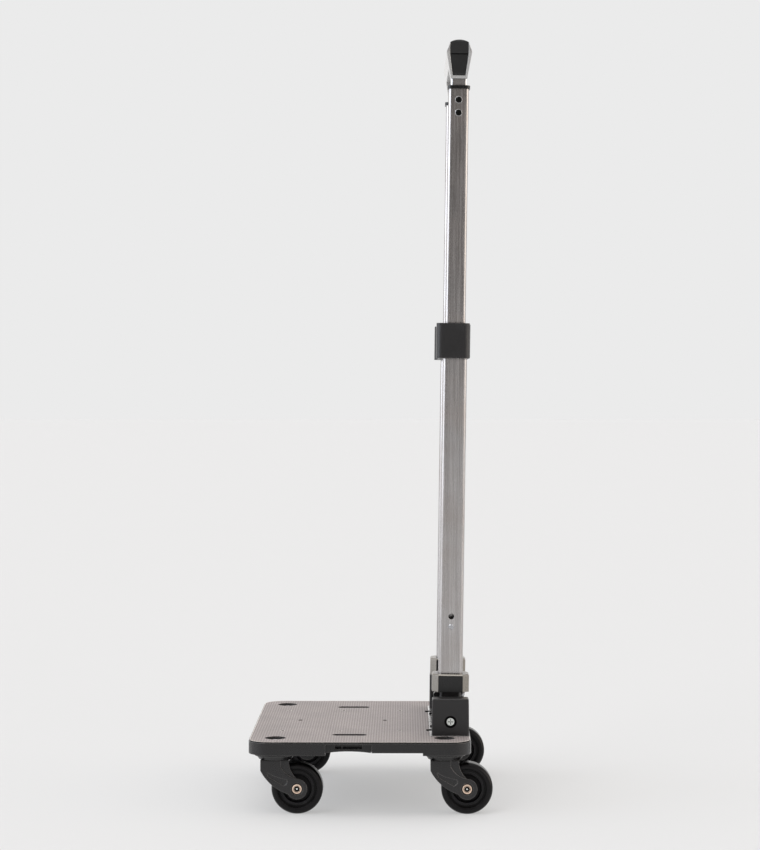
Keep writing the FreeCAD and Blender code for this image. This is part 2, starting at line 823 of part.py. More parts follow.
def panel_outline():
    """Shallow leaf-shaped panel on a fork arm."""
    front, brow = "2 * panel_margin - fork_crown / 2", "crown_top - fork_brow"
    reach = "(fork_boss / 2 + panel_margin / 2)"
    return [
        (front, f"{brow} - panel_margin / 2"),
        (f"{front} + panel_margin / 2", f"{brow} - 2 * panel_margin"),
        (f"caster_trail - {reach} - panel_margin / 2", "axle_z + panel_margin", "panel_end"),
        (f"caster_trail - {reach} + panel_margin / 2", "axle_z + 3 * panel_margin",
         "-panel_sweep"),
    ]


def make_fork(spot, along, across):
    """Swivelling fork with a panelled arm on each side of the wheel."""
    solid = fuse(profile_along_y(fork_outline(), "fork_half"),
                 profile_along_y(crown_outline(), "fork_half - arm_step"))
    slot_half = "wheel_width / 2 + wheel_gap"
    tools = [
        cylinder("wheel_diameter + 4", f"2 * ({slot_half})",
                 ("caster_trail", f"-({slot_half})", "axle_z"), "y"),
        block(("fork_front_web - fork_crown / 2", f"-({slot_half})", "0"),
              ("caster_trail + fork_boss", slot_half, "kingpin_tip - 1")),
        cylinder("kingpin_diameter + 2 * running_fit", "kingpin_reach + 1",
                 ("0", "0", "kingpin_tip")),
        cylinder("axle_diameter + 2 * running_fit", "2 * fork_half + 2",
                 ("caster_trail", "-fork_half - 1", "axle_z"), "y"),
    ]
    for sign in SIDES.values():
        low = "fork_half - axle_well_depth" if sign > 0 else "-fork_half - 1"
        tools.append(cylinder("axle_well", "axle_well_depth + 1",
                              ("caster_trail", low, "axle_z"), "y"))
        centre = f"{sign} * fork_half"
        tools.append(profile_along_y(panel_outline(), "fork_panel_depth", centre))
    fork = cut(solid, *tools)
    return keep(place(fork, along, across, 0), f"caster_fork_{spot}")


def make_axle(spot, along, across):
    """Wheel axle with a socketed head in the well of each fork arm."""
    floor = "(fork_half - axle_well_depth)"
    solid = fuse(
        cylinder("axle_diameter", f"2 * {floor} + 2 * axle_head_height",
                 ("0", f"-{floor} - axle_head_height", "0"), "y"),
        cylinder("axle_head", "axle_head_height", ("0", floor, "0"), "y"),
        cylinder("axle_head", "axle_head_height", ("0", f"-{floor} - axle_head_height", "0"), "y"))
    sockets = [cylinder("axle_socket", "axle_head_height + 0.3",
                        ("0", f"{floor}", "0"), "y"),
               cylinder("axle_socket", "axle_head_height + 0.3",
                        ("0", f"-{floor} - axle_head_height - 0.3", "0"), "y")]
    axle = cut(solid, *sockets)
    return keep(place(axle, f"{along} + caster_trail", across, "axle_z"), f"wheel_axle_{spot}")


def make_hub(spot, along, across):
    """Wheel hub: bearing core, dished web and rim."""
    half, core = "wheel_width / 2", "hub_core / 2"
    bore, rim = "axle_diameter / 2 + running_fit", "tyre_bore"
    outer = "wheel_width / 2 - 1.2"
    corners = [
        (bore, f"-({half})"), (core, f"-({half})"), (f"{core} + 1", f"-({half}) + 2"),
        (f"{core} + 1", "-hub_web / 2"), (f"{rim} - 4", "-hub_web / 2"),
        (f"{rim} - 3", f"-({outer})"), (rim, f"-({outer})"),
        (rim, outer), (f"{rim} - 3", outer),
        (f"{rim} - 4", "hub_web / 2"), (f"{core} + 1", "hub_web / 2"),
        (f"{core} + 1", f"{half} - 2"), (core, half), (bore, half),
    ]
    hub = turned(corners, "XY_Plane")
    return keep(place(hub, f"{along} + caster_trail", across, "axle_z"), f"wheel_hub_{spot}")


def make_tyre(spot, along, across):
    """Solid tyre around the hub, with a relief groove on each side."""
    half, tread = "wheel_width / 2", "wheel_diameter / 2"
    bore = "tyre_bore + free_gap / 10"
    groove = "tyre_bore + 2.5"
    turn = "tread_corner"
    corners = [
        (bore, f"-({half} - 1)"), (groove, f"-({half} - 1)"), (f"{groove} + 0.6", f"-({half})"),
        (f"{tread} - {turn}", f"-({half})", turn), (tread, f"-({half} - {turn})"),
        (tread, f"{half} - {turn}", turn), (f"{tread} - {turn}", half),
        (f"{groove} + 0.6", half), (groove, f"{half} - 1"), (bore, f"{half} - 1"),
    ]
    tyre = turned(corners, "XY_Plane")
    return keep(place(tyre, f"{along} + caster_trail", across, "axle_z"), f"wheel_tyre_{spot}")


def make_crossbar():
    """Folding crossbar with a journal at each end."""
    reach = "block_inner - free_gap"
    solid = fuse(
        cylinder("crossbar_diameter", f"2 * ({reach})", ("0", f"-({reach})", "0"), "y"),
        cylinder("journal_diameter", f"2 * ({reach} + journal_length)",
                 ("0", f"-({reach} + journal_length)", "0"), "y"))
    bore, depth = "pivot_screw_shank + 2 * running_fit", "journal_length + pivot_bore"
    tools = [cylinder(bore, depth, ("0", f"{reach} - pivot_bore", "0"), "y"),
             cylinder(bore, depth, ("0", f"-({reach} + journal_length)", "0"), "y")]
    return keep(lean(cut(solid, *tools)), "hinge_crossbar")


def make_pivot_screws():
    """Cross-recess screws in the ends of the crossbar."""
    seat = "block_outer - screw_well_depth + free_gap"
    length = "screw_well_depth + journal_length"
    screws = []
    for sign in SIDES.values():
        head_low = seat if sign > 0 else f"-({seat}) - pivot_head_height"
        shank_low = f"{seat} - ({length})" if sign > 0 else f"-({seat})"
        recess_low = (f"{seat} + pivot_head_height / 2" if sign > 0
                      else f"-({seat}) - 1.5 * pivot_head_height")
        long, short = "(cross_length / 2)", "(cross_width / 2)"
        bars = [block((f"-{half_x}", recess_low, f"-{half_z}"),
                      (half_x, f"{recess_low} + pivot_head_height", half_z))
                for half_x, half_z in ((long, short), (short, long))]
        head = cut(cylinder("pivot_screw_head", "pivot_head_height", ("0", head_low, "0"), "y"),
                   *bars)
        shank = cylinder("pivot_screw_shank", length, ("0", shank_low, "0"), "y")
        screws.append(fuse(head, shank))
    return keep(lean(group(screws)), "pivot_screws")


def make_knuckle(side, sign):
    """Saddle on the crossbar, neck and plug inside the foot of one post."""
    post = f"{sign} * post_y"
    solid = plate("plug_depth", "plug_width", "plug_corner",
                  "tube_base + plug_length - saddle_lift", ("0", post, "saddle_lift"))
    tools = [
        cylinder("crossbar_diameter + 2 * running_fit", "outer_width + 4",
                 ("0", f"{post} - outer_width / 2 - 2", "0"), "y"),
        plate("plug_depth - 2 * plug_wall", "plug_width - 2 * plug_wall", "plug_wall / 2",
              "plug_length", ("0", post, "tube_base + plug_foot")),
        block(("-plug_depth / 2 - 1", f"{post} - tab_width / 2 - free_gap",
               "tab_lift - free_gap"),
              ("tab_pocket - plug_depth / 2", f"{post} + tab_width / 2 + free_gap",
               "tab_lift + tab_height + free_gap")),
        cylinder("stud_diameter + 2 * running_fit", "plug_depth / 2",
                 ("plug_wall", post, "stud_lift"), "x"),
        cylinder("rivet_shank + 2 * running_fit", "outer_width / 2 + 1",
                 ("0", f"{post} - outer_width / 2 - 1" if sign < 0 else post, "rivet_lift"), "y"),
    ]
    return keep(lean(cut(solid, *tools)), f"post_knuckle_{side}")


def button_head(diameter, height):
    """Rivet head standing on its seat: a short rim and a sloped crown."""
    rim = cylinder(diameter, f"0.45 * ({height})", ("0", "0", "0"))
    crown = cone(diameter, f"0.6 * ({diameter})", f"0.55 * ({height})",
                 ("0", "0", f"0.45 * ({height})"))
    return fuse(rim, crown)


def make_studs():
    """Steel studs through the back of the knuckles."""
    studs = []
    for sign in SIDES.values():
        seat = "plug_depth / 2 + seat_fit"
        head = button_head("stud_head", f"stud_reach - ({seat})")
        place(head, seat, f"{sign} * post_y", "stud_lift", (0, 1, 0), "90")
        pin = cylinder("stud_diameter", "plug_depth / 2 - plug_wall + 1",
                       ("plug_wall", f"{sign} * post_y", "stud_lift"), "x")
        studs.append(fuse(pin, head))
    return keep(lean(group(studs)), "knuckle_studs")


def make_tab(side, sign):
    """Sprung tab in front of a post's neck that frees the fold."""
    post = f"{sign} * post_y"
    back = "tab_pocket - plug_depth / 2 - tab_travel - free_gap"
    corners = [
        ("-tab_reach", "tab_lift + tab_bevel"), ("tab_bevel - tab_reach", "tab_lift"),
        (back, "tab_lift"), (back, "tab_lift + tab_height"),
        ("tab_bevel - tab_reach", "tab_lift + tab_height"),
        ("-tab_reach", "tab_lift + tab_height - tab_bevel"),
    ]
    body = profile_along_y(corners, "tab_width / 2", post)
    return keep(lean(group_of(body)), f"fold_tab_{side}")


def make_collar(side, sign):
    """Square metal collar round the foot of one post."""
    post = f"{sign} * post_y"
    half_x, half_y, bevel = "collar_depth / 2", "collar_width / 2", "collar_bevel"
    body, sketch = new_sketch("XY_Plane")
    corners = []
    for turn_x, turn_y in ((1, 1), (-1, 1), (-1, -1), (1, -1)):
        along_y = (f"{turn_x} * {half_x}", f"{turn_y} * ({half_y} - {bevel})")
        along_x = (f"{turn_x} * ({half_x} - {bevel})", f"{turn_y} * {half_y}")
        corners += [along_y, along_x] if turn_x * turn_y > 0 else [along_x, along_y]
    outline(sketch, corners)
    pad(body, sketch, "collar_height")
    soften(body, "Chamfer", "collar_edge",
           lambda middle, way: middle.z > number("collar_height") - 0.01)
    place(body, 0, post, "collar_lift")
    tools = [
        plate("outer_depth + 2 * seat_fit", "outer_width + 2 * seat_fit",
              "outer_corner + seat_fit", "collar_height", ("0", post, "tube_base")),
        plate("plug_depth + 2 * seat_fit", "plug_width + 2 * seat_fit",
              "plug_corner + seat_fit", "collar_height", ("0", post, "collar_lift - 1")),
    ]
    for face in SIDES.values():
        edge = f"{post} + {face} * {half_y}"
        inner, outer = f"{edge} - {face} * cover_sink", f"{edge} + {face}"
        low_y, high_y = (inner, outer) if face > 0 else (outer, inner)
        tools.append(block(("-cover_depth / 2 - seat_fit", low_y, "collar_lift - 1"),
                           ("cover_depth / 2 + seat_fit", high_y, "cover_top")))
    return keep(lean(cut(body, *tools)), f"post_collar_{side}")


def make_collar_covers():
    """Dark cover plates let into the flat faces of both collars."""
    covers = []
    for sign in SIDES.values():
        for face in SIDES.values():
            edge = f"{sign} * post_y + {face} * collar_width / 2"
            inner, outer = f"{edge} - {face} * cover_sink", f"{edge} + {face} * cover_proud"
            low_y, high_y = (inner, outer) if face > 0 else (outer, inner)
            covers.append(block(("-cover_depth / 2", low_y, "collar_lift"),
                                ("cover_depth / 2", high_y, "cover_top - seat_fit")))
    return keep(lean(group(covers)), "collar_covers")


def make_outer_tube(side, sign):
    """Lower post tube, with its rivet hole and sight hole on the outer face."""
    post = f"{sign} * post_y"
    solid = plate("outer_depth", "outer_width", "outer_corner", "outer_length",
                  ("0", post, "tube_base"), "outer_wall")
    start = f"{post} - outer_width / 2 - 1" if sign < 0 else post
    tools = [
        cylinder("rivet_shank + 2 * running_fit", "outer_width / 2 + 1",
                 ("0", start, "rivet_lift"), "y"),
        cylinder("sight_hole", "outer_width / 2 + 1",
                 ("0", start, "rivet_lift + sight_hole_step"), "y"),
    ]
    return keep(lean(cut(solid, *tools)), f"outer_tube_{side}")


def rivet(diameter, height, shank, sign, face, lift):
    """Rivet in a post's outer face; face is that face's Y."""
    head = button_head(diameter, height)
    angle = "90" if sign < 0 else "-90"
    place(head, 0, face, lift, (1, 0, 0), angle)
    start = face if sign < 0 else f"{face} - ({shank})"
    return fuse(head, cylinder("rivet_shank", shank, ("0", start, lift), "y"))


def make_tube_rivets():
    rivets = []
    for sign in SIDES.values():
        face = f"{sign} * (post_y + outer_width / 2)"
        rivets.append(rivet("rivet_head", "rivet_rise", "outer_width / 2 - outer_wall", sign,
                            face, "rivet_lift"))
    return keep(lean(group(rivets)), "tube_rivets")


def bracket_housing(sign):
    """Outer form of the bracket around one post."""
    return plate("bracket_depth", "bracket_width", "bracket_corner", "bracket_height",
                 ("-bracket_offset", f"{sign} * post_y", "bracket_base"))


def make_bracket():
    """Mid bracket: a housing on each post and the box beam between them."""
    reach = "(post_y - bracket_width / 2 + bracket_wall)"
    back = "(bracket_bulge - bracket_cover)"
    front = "(beam_setback - bracket_front)"
    inside = "(post_y - bracket_width / 2 - bracket_wall)"
    beam = block((front, f"-{reach}", "bracket_base"), (back, reach, "bracket_top"))
    solids = [beam] + [bracket_housing(sign) for sign in SIDES.values()]
    hollow_box = block((f"{front} + bracket_wall", f"-{inside}", "bracket_base + bracket_wall"),
                       (f"{back} + 1", inside, "bracket_top - bracket_wall"))
    wells = []
    drills = []
    posts = []
    for sign in SIDES.values():
        post = f"{sign} * post_y"
        wells.append(plate("outer_depth + 2 * seat_fit", "outer_width + 2 * seat_fit",
                           "outer_corner + seat_fit", "tube_top - bracket_base + 1 + bush_flange",
                           ("0", post, "bracket_base - 1")))
        wells.append(plate("inner_depth + 2 * bush_wall", "inner_width + 2 * bush_wall",
                           "inner_corner + bush_wall", "bracket_height", ("0", post, "tube_top")))
    for along, lift in bracket_screw_spots():
        drills.append(cylinder("cover_screw + 2 * running_fit", "cover_screw_reach + 4",
                               (f"{back} - cover_screw_reach - 2", along, lift), "x"))
        posts.append(cylinder("cover_screw + 2 * boss_wall", f"{back} - {front} - 1",
                              (f"{front} + 1", along, lift), "x"))
    hollow = cut(fuse(*solids), hollow_box, *wells)
    drilled = cut(fuse(hollow, *posts), *drills)
    return keep(lean(drilled), "mid_bracket")


def bracket_screw_spots():
    """Y and height of the screws that hold the bracket's back cover."""
    for sign in SIDES.values():
        for lift in ("bracket_base + bracket_height / 5", "bracket_top - bracket_height / 5"):
            yield f"{sign} * (post_y - bracket_width / 2 - 4 * bracket_wall)", lift


def make_bracket_cover():
    """Back cover of the mid bracket, with its screw holes."""
    reach = "(post_y - bracket_width / 2 + bracket_wall - 1)"
    body, sketch = new_sketch("YZ_Plane")
    outline(sketch, [(f"-{reach}", "bracket_base"), (reach, "bracket_base"),
                     (reach, "bracket_top"), (f"-{reach}", "bracket_top")])
    pad(body, sketch, "bracket_cover")
    soften(body, "Fillet", "cover_round",
           lambda middle, way: middle.x > number("bracket_cover") - 0.01)
    place(body, "bracket_bulge - bracket_cover", 0, 0)
    tools = [cylinder("cover_screw + 2 * running_fit", "bracket_cover + 2",
                      ("bracket_bulge - bracket_cover - 1", along, lift), "x")
             for along, lift in bracket_screw_spots()]
    tools += [cylinder("cover_screw_head + 2 * free_gap", "low_head + 1",
                       ("bracket_bulge - low_head - free_gap", along, lift), "x")
              for along, lift in bracket_screw_spots()]
    for sign in SIDES.values():
        tools.append(plate("bracket_depth + 2 * seat_fit", "bracket_width + 2 * seat_fit",
                           "bracket_corner + seat_fit", "bracket_height + 2",
                           ("-bracket_offset", f"{sign} * post_y", "bracket_base - 1")))
    return keep(lean(cut(body, *tools)), "bracket_back_cover")


def make_bracket_screws():
    screws = []
    for along, lift in bracket_screw_spots():
        seat = "(bracket_bulge - low_head - free_gap)"
        head = cut(cylinder("cover_screw_head", "low_head", (seat, along, lift), "x"),
                   cylinder("hex_socket", "low_head",
                            (f"{seat} + low_head / 2", along, lift), "x"))
        start = "(bracket_bulge - bracket_cover - cover_screw_reach)"
        shank = cylinder("cover_screw", f"{seat} + low_head / 4 - {start}",
                         (start, along, lift), "x")
        screws.append(fuse(head, shank))
    return keep(lean(group(screws)), "bracket_screws")


def make_guide_bushes():
    """Sliding bushes at the top of the outer tubes, held by the bracket."""
    bushes = []
    for sign in SIDES.values():
        post = f"{sign} * post_y"
        flange = plate("outer_depth - 2 * outer_wall", "outer_width - 2 * outer_wall",
                       "plug_corner", "bush_flange", ("0", post, "tube_top"))
        sleeve = plate("inner_depth + 2 * (bush_wall - seat_fit)",
                       "inner_width + 2 * (bush_wall - seat_fit)",
                       "inner_corner + bush_wall - seat_fit", "bracket_top - tube_top - 1",
                       ("0", post, "tube_top"))
        skirt = plate("plug_depth", "plug_width", "plug_corner", "bush_skirt",
                      ("0", post, "tube_top - bush_skirt"))
        bore = plate("inner_depth + 2 * running_fit", "inner_width + 2 * running_fit",
                     "inner_corner + running_fit", "bracket_height + 2 * bush_skirt",
                     ("0", post, "tube_top - bush_skirt - 1"))
        bushes.append(cut(fuse(flange, sleeve, skirt), bore))
    return keep(lean(group(bushes)), "guide_bushes")


def make_inner_tube(side, sign):
    """Sliding upper post tube, with its rivet holes and lock-pin hole."""
    post = f"{sign} * post_y"
    solid = plate("inner_depth", "inner_width", "inner_corner", "inner_length",
                  ("0", post, "inner_base"), "inner_wall")
    start = f"{post} - inner_width / 2 - 1" if sign < 0 else post
    tools = [cylinder("rivet_shank + 2 * running_fit", "inner_width / 2 + 1",
                      ("0", start, lift), "y") for lift in neck_rivet_lifts()]
    return keep(lean(cut(solid, *tools)), f"inner_tube_{side}")


def neck_rivet_lifts():
    """Heights of the two rivets that hold each neck."""
    return ["inner_top - neck_rivet", "inner_top - neck_rivet + neck_rivet_pitch"]


def make_glide(side, sign):
    """Plastic glide on the foot of one inner tube; it houses the lock pin."""
    post = f"{sign} * post_y"
    head = plate("glide_depth", "glide_width", "plug_corner", "glide_height",
                 ("0", post, "inner_base - glide_height"))
    spigot = plate("spigot_depth", "spigot_width", "spigot_corner", "glide_spigot + 1",
                   ("0", post, "inner_base - 1"))
    inward = f"{post} - {sign} * 1"
    reach = "glide_width / 2 + 2"
    start = f"{inward} - ({reach})" if sign > 0 else inward
    tools = [
        cylinder("rod_well", "glide_spigot + 4", ("0", post, "inner_base - 2")),
        cylinder("pin_diameter + 2 * running_fit", reach,
                 ("0", start, "inner_base - glide_height / 2"), "y"),
    ]
    return keep(lean(cut(fuse(head, spigot), *tools)), f"tube_glide_{side}")


def make_lock_pin(side, sign):
    """Pin that locks the telescope, drawn back flush with its glide."""
    post = f"{sign} * post_y"
    face = f"{post} - {sign} * (glide_width / 2)"
    length = "glide_width / 2 - rod_well / 2"
    start = face if sign > 0 else f"{face} - ({length})"
    pin = cylinder("pin_diameter", length, ("0", start, "inner_base - glide_height / 2"), "y")
    return keep(lean(group_of(pin)), f"lock_pin_{side}")


def make_tube_cap(side, sign):
    """Ring that closes the top of one inner tube round the neck."""
    body, sketch = new_sketch("XY_Plane")
    rounded_rectangle(sketch, "inner_depth + 2 * cap_rim", "inner_width + 2 * cap_rim",
                      "inner_corner + cap_rim", "outer")
    rounded_rectangle(sketch, "neck_depth + 2 * seat_fit", "neck_width + 2 * seat_fit",
                      "spigot_corner + seat_fit", "inner")
    pad(body, sketch, "cap_height")
    place(body, 0, f"{sign} * post_y", "inner_top")
    return keep(lean(group_of(body)), f"tube_cap_{side}")


def make_neck(side, sign):
    """Bright neck between tube and grip, with its spigot inside the tube."""
    post = f"{sign} * post_y"
    spigot = plate("spigot_depth", "spigot_width", "spigot_corner", "neck_spigot",
                   ("0", post, "inner_top - neck_spigot"))
    neck = plate("neck_depth", "neck_width", "spigot_corner", "cap_height + neck_height + 1",
                 ("0", post, "inner_top - 1"))
    start = f"{post} - inner_width / 2 - 1" if sign < 0 else post
    tools = [cylinder("rivet_shank + 2 * running_fit", "inner_width / 2 + 1",
                      ("0", start, lift), "y") for lift in neck_rivet_lifts()]
    tools.append(cylinder("rod_well", "neck_spigot + 30",
                          ("0", post, "inner_top - neck_spigot - 1")))
    return keep(lean(cut(fuse(spigot, neck), *tools)), f"handle_neck_{side}")


def make_neck_rivets():
    """Dark rivets through the inner tubes' outer faces into the necks."""
    rivets = []
    for sign in SIDES.values():
        face = f"{sign} * (post_y + inner_width / 2)"
        for lift in neck_rivet_lifts():
            rivets.append(rivet("neck_rivet_head", "rivet_rise", "neck_rivet_grip", sign, face,
                                lift))
    return keep(lean(group(rivets)), "neck_rivets")


def grip_form():
    """Whole grip: side view and front view together."""
    foot, side = "grip_foot_depth / 2", "grip_depth / 2"
    crest = "(grip_height - grip_pad_line)"
    dome = f"(pad_width ^ 2 / 4 + {crest} ^ 2) / (2 * {crest})"
    side_view = profile_along_y([
        (f"-{foot}", "grip_base"), (foot, "grip_base"),
        (side, "grip_base + grip_shoulder"),
        ("pad_width / 2", "pad_z", dome),
        ("-pad_width / 2", "pad_z"),
        (f"-{side}", "grip_base + grip_shoulder"),
    ], "grip_half_length + 1")
    leg, bar = "(post_y - grip_leg)", "(grip_base + grip_bar_base)"
    end, turn, knee = "grip_half_length", "grip_round", "grip_knee"
    front_view = profile_along_x([
        (f"grip_draft - {end}", "grip_base - 1"), (f"1 - {leg}", "grip_base - 1"),
        (f"grip_draft - {leg}", f"{bar} - {knee}", f"-{knee}"),
        (f"grip_draft + {knee} - {leg}", bar),
        (f"{leg} - grip_draft - {knee}", bar, f"-{knee}"),
        (f"{leg} - grip_draft", f"{bar} - {knee}"),
        (f"{leg} - 1", "grip_base - 1"), (f"{end} - grip_draft", "grip_base - 1"),
        (end, "grip_base + grip_shoulder"), (end, f"grip_top - {turn}", turn),
        (f"{end} - {turn}", "grip_top + 1"), (f"{turn} - {end}", "grip_top + 1", turn),
        (f"-{end}", f"grip_top - {turn}"), (f"-{end}", "grip_base + grip_shoulder"),
    ], "grip_depth / 2 + 1")
    return common(side_view, front_view)


def insert_form(sign, slack):
    """Trapezoid end insert from foot to seam, with slack all round for its recess."""
    foot, top = f"insert_foot / 2 + {slack}", f"insert_top / 2 + {slack}"
    high = f"seam_z - seat_fit + 2 * {slack}"
    low = f"grip_base - {slack}"
    body = profile_along_y([
        (f"-({foot})", low), (foot, low), (top, high), (f"-({top})", high),
    ], "insert_thickness + 2", f"{sign} * (grip_half_length + 1)")
    return body


def tongue_form(sign, slack, low):
    """End tongue of the top pad, down the grip's end face as far as the seam."""
    low_y, high_y = ordered(sign, f"grip_half_length - tongue_depth - {slack}",
                            "grip_half_length + 1")
    return block((f"-pad_width / 2 - {slack}", low_y, low),
                 (f"pad_width / 2 + {slack}", high_y, "pad_z + 1"))


def grip_cavity():
    """Space inside the grip for the yoke and the foot of the button."""
    half = "(yoke_width / 2 + 2)"
    return block((f"-{half}", f"-post_y - {half}",
                  "yoke_top - yoke_thickness - button_travel - 1"),
                 (half, f"post_y + {half}", "pad_z + 1"))


def insert_cutters():
    return [insert_form(sign, "seat_fit") for sign in SIDES.values()]


def rod_wells():
    return [cylinder("rod_well", "grip_height", ("0", f"{sign} * post_y", "grip_base - 1"))
            for sign in SIDES.values()]


def grip_slab(low, high):
    """Layer of the grip between two heights."""
    side = "grip_depth"
    return block((f"-{side}", "-2 * grip_half_length", low),
                 (side, "2 * grip_half_length", high))


def make_grip_shells():
    lower = cut(common(grip_form(), grip_slab("grip_base - 2", "seam_z")),
                grip_cavity(), *insert_cutters(), *rod_wells())
    keep(lean(lower), "grip_lower_shell")
    button_well = button_form("free_gap", "yoke_top - button_travel - 1", "pad_z + 1")
    tongue_wells = [tongue_form(sign, "seat_fit", "seam_z - 1") for sign in SIDES.values()]
    upper = cut(common(grip_form(), grip_slab("seam_z", "pad_z")),
                grip_cavity(), button_well, *tongue_wells, *rod_wells())
    keep(lean(upper), "grip_upper_shell")


def button_form(slack, low, high):
    return plate(f"button_width + 2 * {slack}", f"button_length + 2 * {slack}",
                 f"button_width / 2 - 1 + {slack}", f"({high}) - ({low})", ("0", "0", low))


def make_grip_pad():
    tongues = [tongue_form(sign, "0", "seam_z + free_gap") for sign in SIDES.values()]
    blank = fuse(grip_slab("pad_z", "grip_top + 5"), *tongues)
    pad_body = cut(common(grip_form(), blank),
                   button_form("free_gap", "pad_z - 1", "grip_top + 5"))
    return keep(lean(pad_body), "grip_top_pad")


def make_button():
    """Release button in the middle of the grip."""
    stem = button_form("0", "yoke_top", "grip_top + button_proud")
    half_x, half_y = "(yoke_width / 2 + 1.5)", "(button_length / 2 + 3)"
    foot = block((f"-{half_x}", f"-{half_y}", "yoke_top"),
                 (half_x, half_y, "pad_z - free_gap"))
    return keep(lean(fuse(stem, foot)), "grip_button")


def make_yoke():
    """Yoke under the button, with a rod down each inner tube."""
    low = "yoke_top - yoke_thickness"
    half = "(yoke_width / 2)"
    bridge = block((f"-{half}", f"-post_y - {half}", low),
                   (half, f"post_y + {half}", "yoke_top"))
    rods = []
    foot = "inner_base + button_travel - 1"
    for sign in SIDES.values():
        rods.append(cylinder("rod_diameter", f"{low} - ({foot}) + 1",
                             ("0", f"{sign} * post_y", foot)))
    return keep(lean(fuse(bridge, *rods)), "release_yoke")


def make_insert(side, sign):
    body = common(grip_form(), insert_form(sign, "0"))
    return keep(lean(body), f"grip_end_insert_{side}")


make_deck_base()
make_deck_sheet()
make_hinge_plate()
make_plate_screws()
make_block_screws()
make_race_cups()
make_kingpins()
for spot_name, spot_x, spot_y in caster_spots():
    make_fork(spot_name, spot_x, spot_y)
    make_axle(spot_name, spot_x, spot_y)
    make_hub(spot_name, spot_x, spot_y)
    make_tyre(spot_name, spot_x, spot_y)
make_crossbar()
make_pivot_screws()
make_studs()
make_collar_covers()
make_tube_rivets()
make_bracket()
make_bracket_cover()
make_bracket_screws()
make_guide_bushes()
for side_name, side_sign in SIDES.items():
    make_end_block(side_name, side_sign)
    make_knuckle(side_name, side_sign)
    make_tab(side_name, side_sign)
    make_collar(side_name, side_sign)
    make_outer_tube(side_name, side_sign)
    make_inner_tube(side_name, side_sign)
    make_glide(side_name, side_sign)
    make_lock_pin(side_name, side_sign)
    make_tube_cap(side_name, side_sign)
    make_neck(side_name, side_sign)
    make_insert(side_name, side_sign)
make_neck_rivets()
make_grip_shells()
make_grip_pad()
make_button()
make_yoke()

doc.recompute()

for item in doc.Objects:
    if "Invalid" in item.State or "Error" in item.State:
        raise RuntimeError(f"{item.Name} did not compute: {item.State}")
labels = [item.Label for item in parts]
if len(set(labels)) != len(labels):
    raise RuntimeError("two sub-parts share a label")
for item in parts:
    if item.Shape.isNull() or not item.Shape.isValid() or not item.Shape.Solids:
        raise RuntimeError(f"{item.Label} has no valid solid")

os.makedirs("parts", exist_ok=True)
for item in parts:
    item.Shape.exportStep(f"parts/{item.Label}.step")
print(len(parts), "sub-parts,", sum(len(item.Shape.Solids) for item in parts), "solids")
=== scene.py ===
import json
import math

import bmesh
import bpy
from mathutils import Matrix, Vector


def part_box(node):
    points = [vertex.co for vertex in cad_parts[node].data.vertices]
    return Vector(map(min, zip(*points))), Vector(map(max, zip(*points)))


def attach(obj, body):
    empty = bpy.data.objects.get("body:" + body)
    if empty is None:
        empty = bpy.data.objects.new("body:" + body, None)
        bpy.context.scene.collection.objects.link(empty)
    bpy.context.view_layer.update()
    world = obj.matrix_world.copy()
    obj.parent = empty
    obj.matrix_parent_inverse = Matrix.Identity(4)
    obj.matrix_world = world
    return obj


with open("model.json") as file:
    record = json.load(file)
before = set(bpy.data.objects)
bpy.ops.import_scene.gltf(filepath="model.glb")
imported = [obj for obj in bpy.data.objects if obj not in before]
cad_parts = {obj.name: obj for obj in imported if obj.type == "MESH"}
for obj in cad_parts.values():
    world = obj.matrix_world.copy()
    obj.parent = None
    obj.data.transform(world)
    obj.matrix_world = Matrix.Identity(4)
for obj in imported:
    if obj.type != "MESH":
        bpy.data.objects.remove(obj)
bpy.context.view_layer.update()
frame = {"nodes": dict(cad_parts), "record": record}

NODES = frame["nodes"]
RECORD = frame["record"]
JOINTS = {joint["name"]: joint for joint in RECORD["behaviour"]["joints"]}
SPOTS = ("front_left", "front_right", "rear_left", "rear_right")
SIDES = {"left": -1, "right": 1}

# Lengths in metres, angles in degrees.
PIT_PITCH = 0.0067
SIDEWALL_WAVE = 0.011
HUB_RIDGE = 0.0022
SHEET_CORNER = 0.0268
EDGE_RADIUS = 0.00045
STUD_OFFSETS = (-0.082, 0.030)
THREAD_TURNS = 5
THREAD_PITCH = 0.0005
THREAD_SINK = 0.0008
AXLE_HEAD = 0.0017
SEAM_RADIUS = 0.0010
SEAM_SHARE = 0.94
SEAM_SINK = 0.7
FLOOR_REACH = 40.0
FLOOR_GLOW = 0.39
FLOOR_TONE = (0.345, 0.345, 0.345, 1)
BACKDROP = 235
LAMP_ENERGY = 0.5
LAMP_SPREAD = 40
CAMERA_PLACE = (0.04135, -3.0968, 0.5336)
CAMERA_DIP = 0.85
CAMERA_TURN = 0.58
CAMERA_LENS = 98.77


def tone(red, green, blue):
    """Linear colour for an 8-bit display colour."""
    def linear(value):
        value = value / 255
        return value / 12.92 if value <= 0.04045 else ((value + 0.055) / 1.055) ** 2.4
    return (linear(red), linear(green), linear(blue), 1.0)


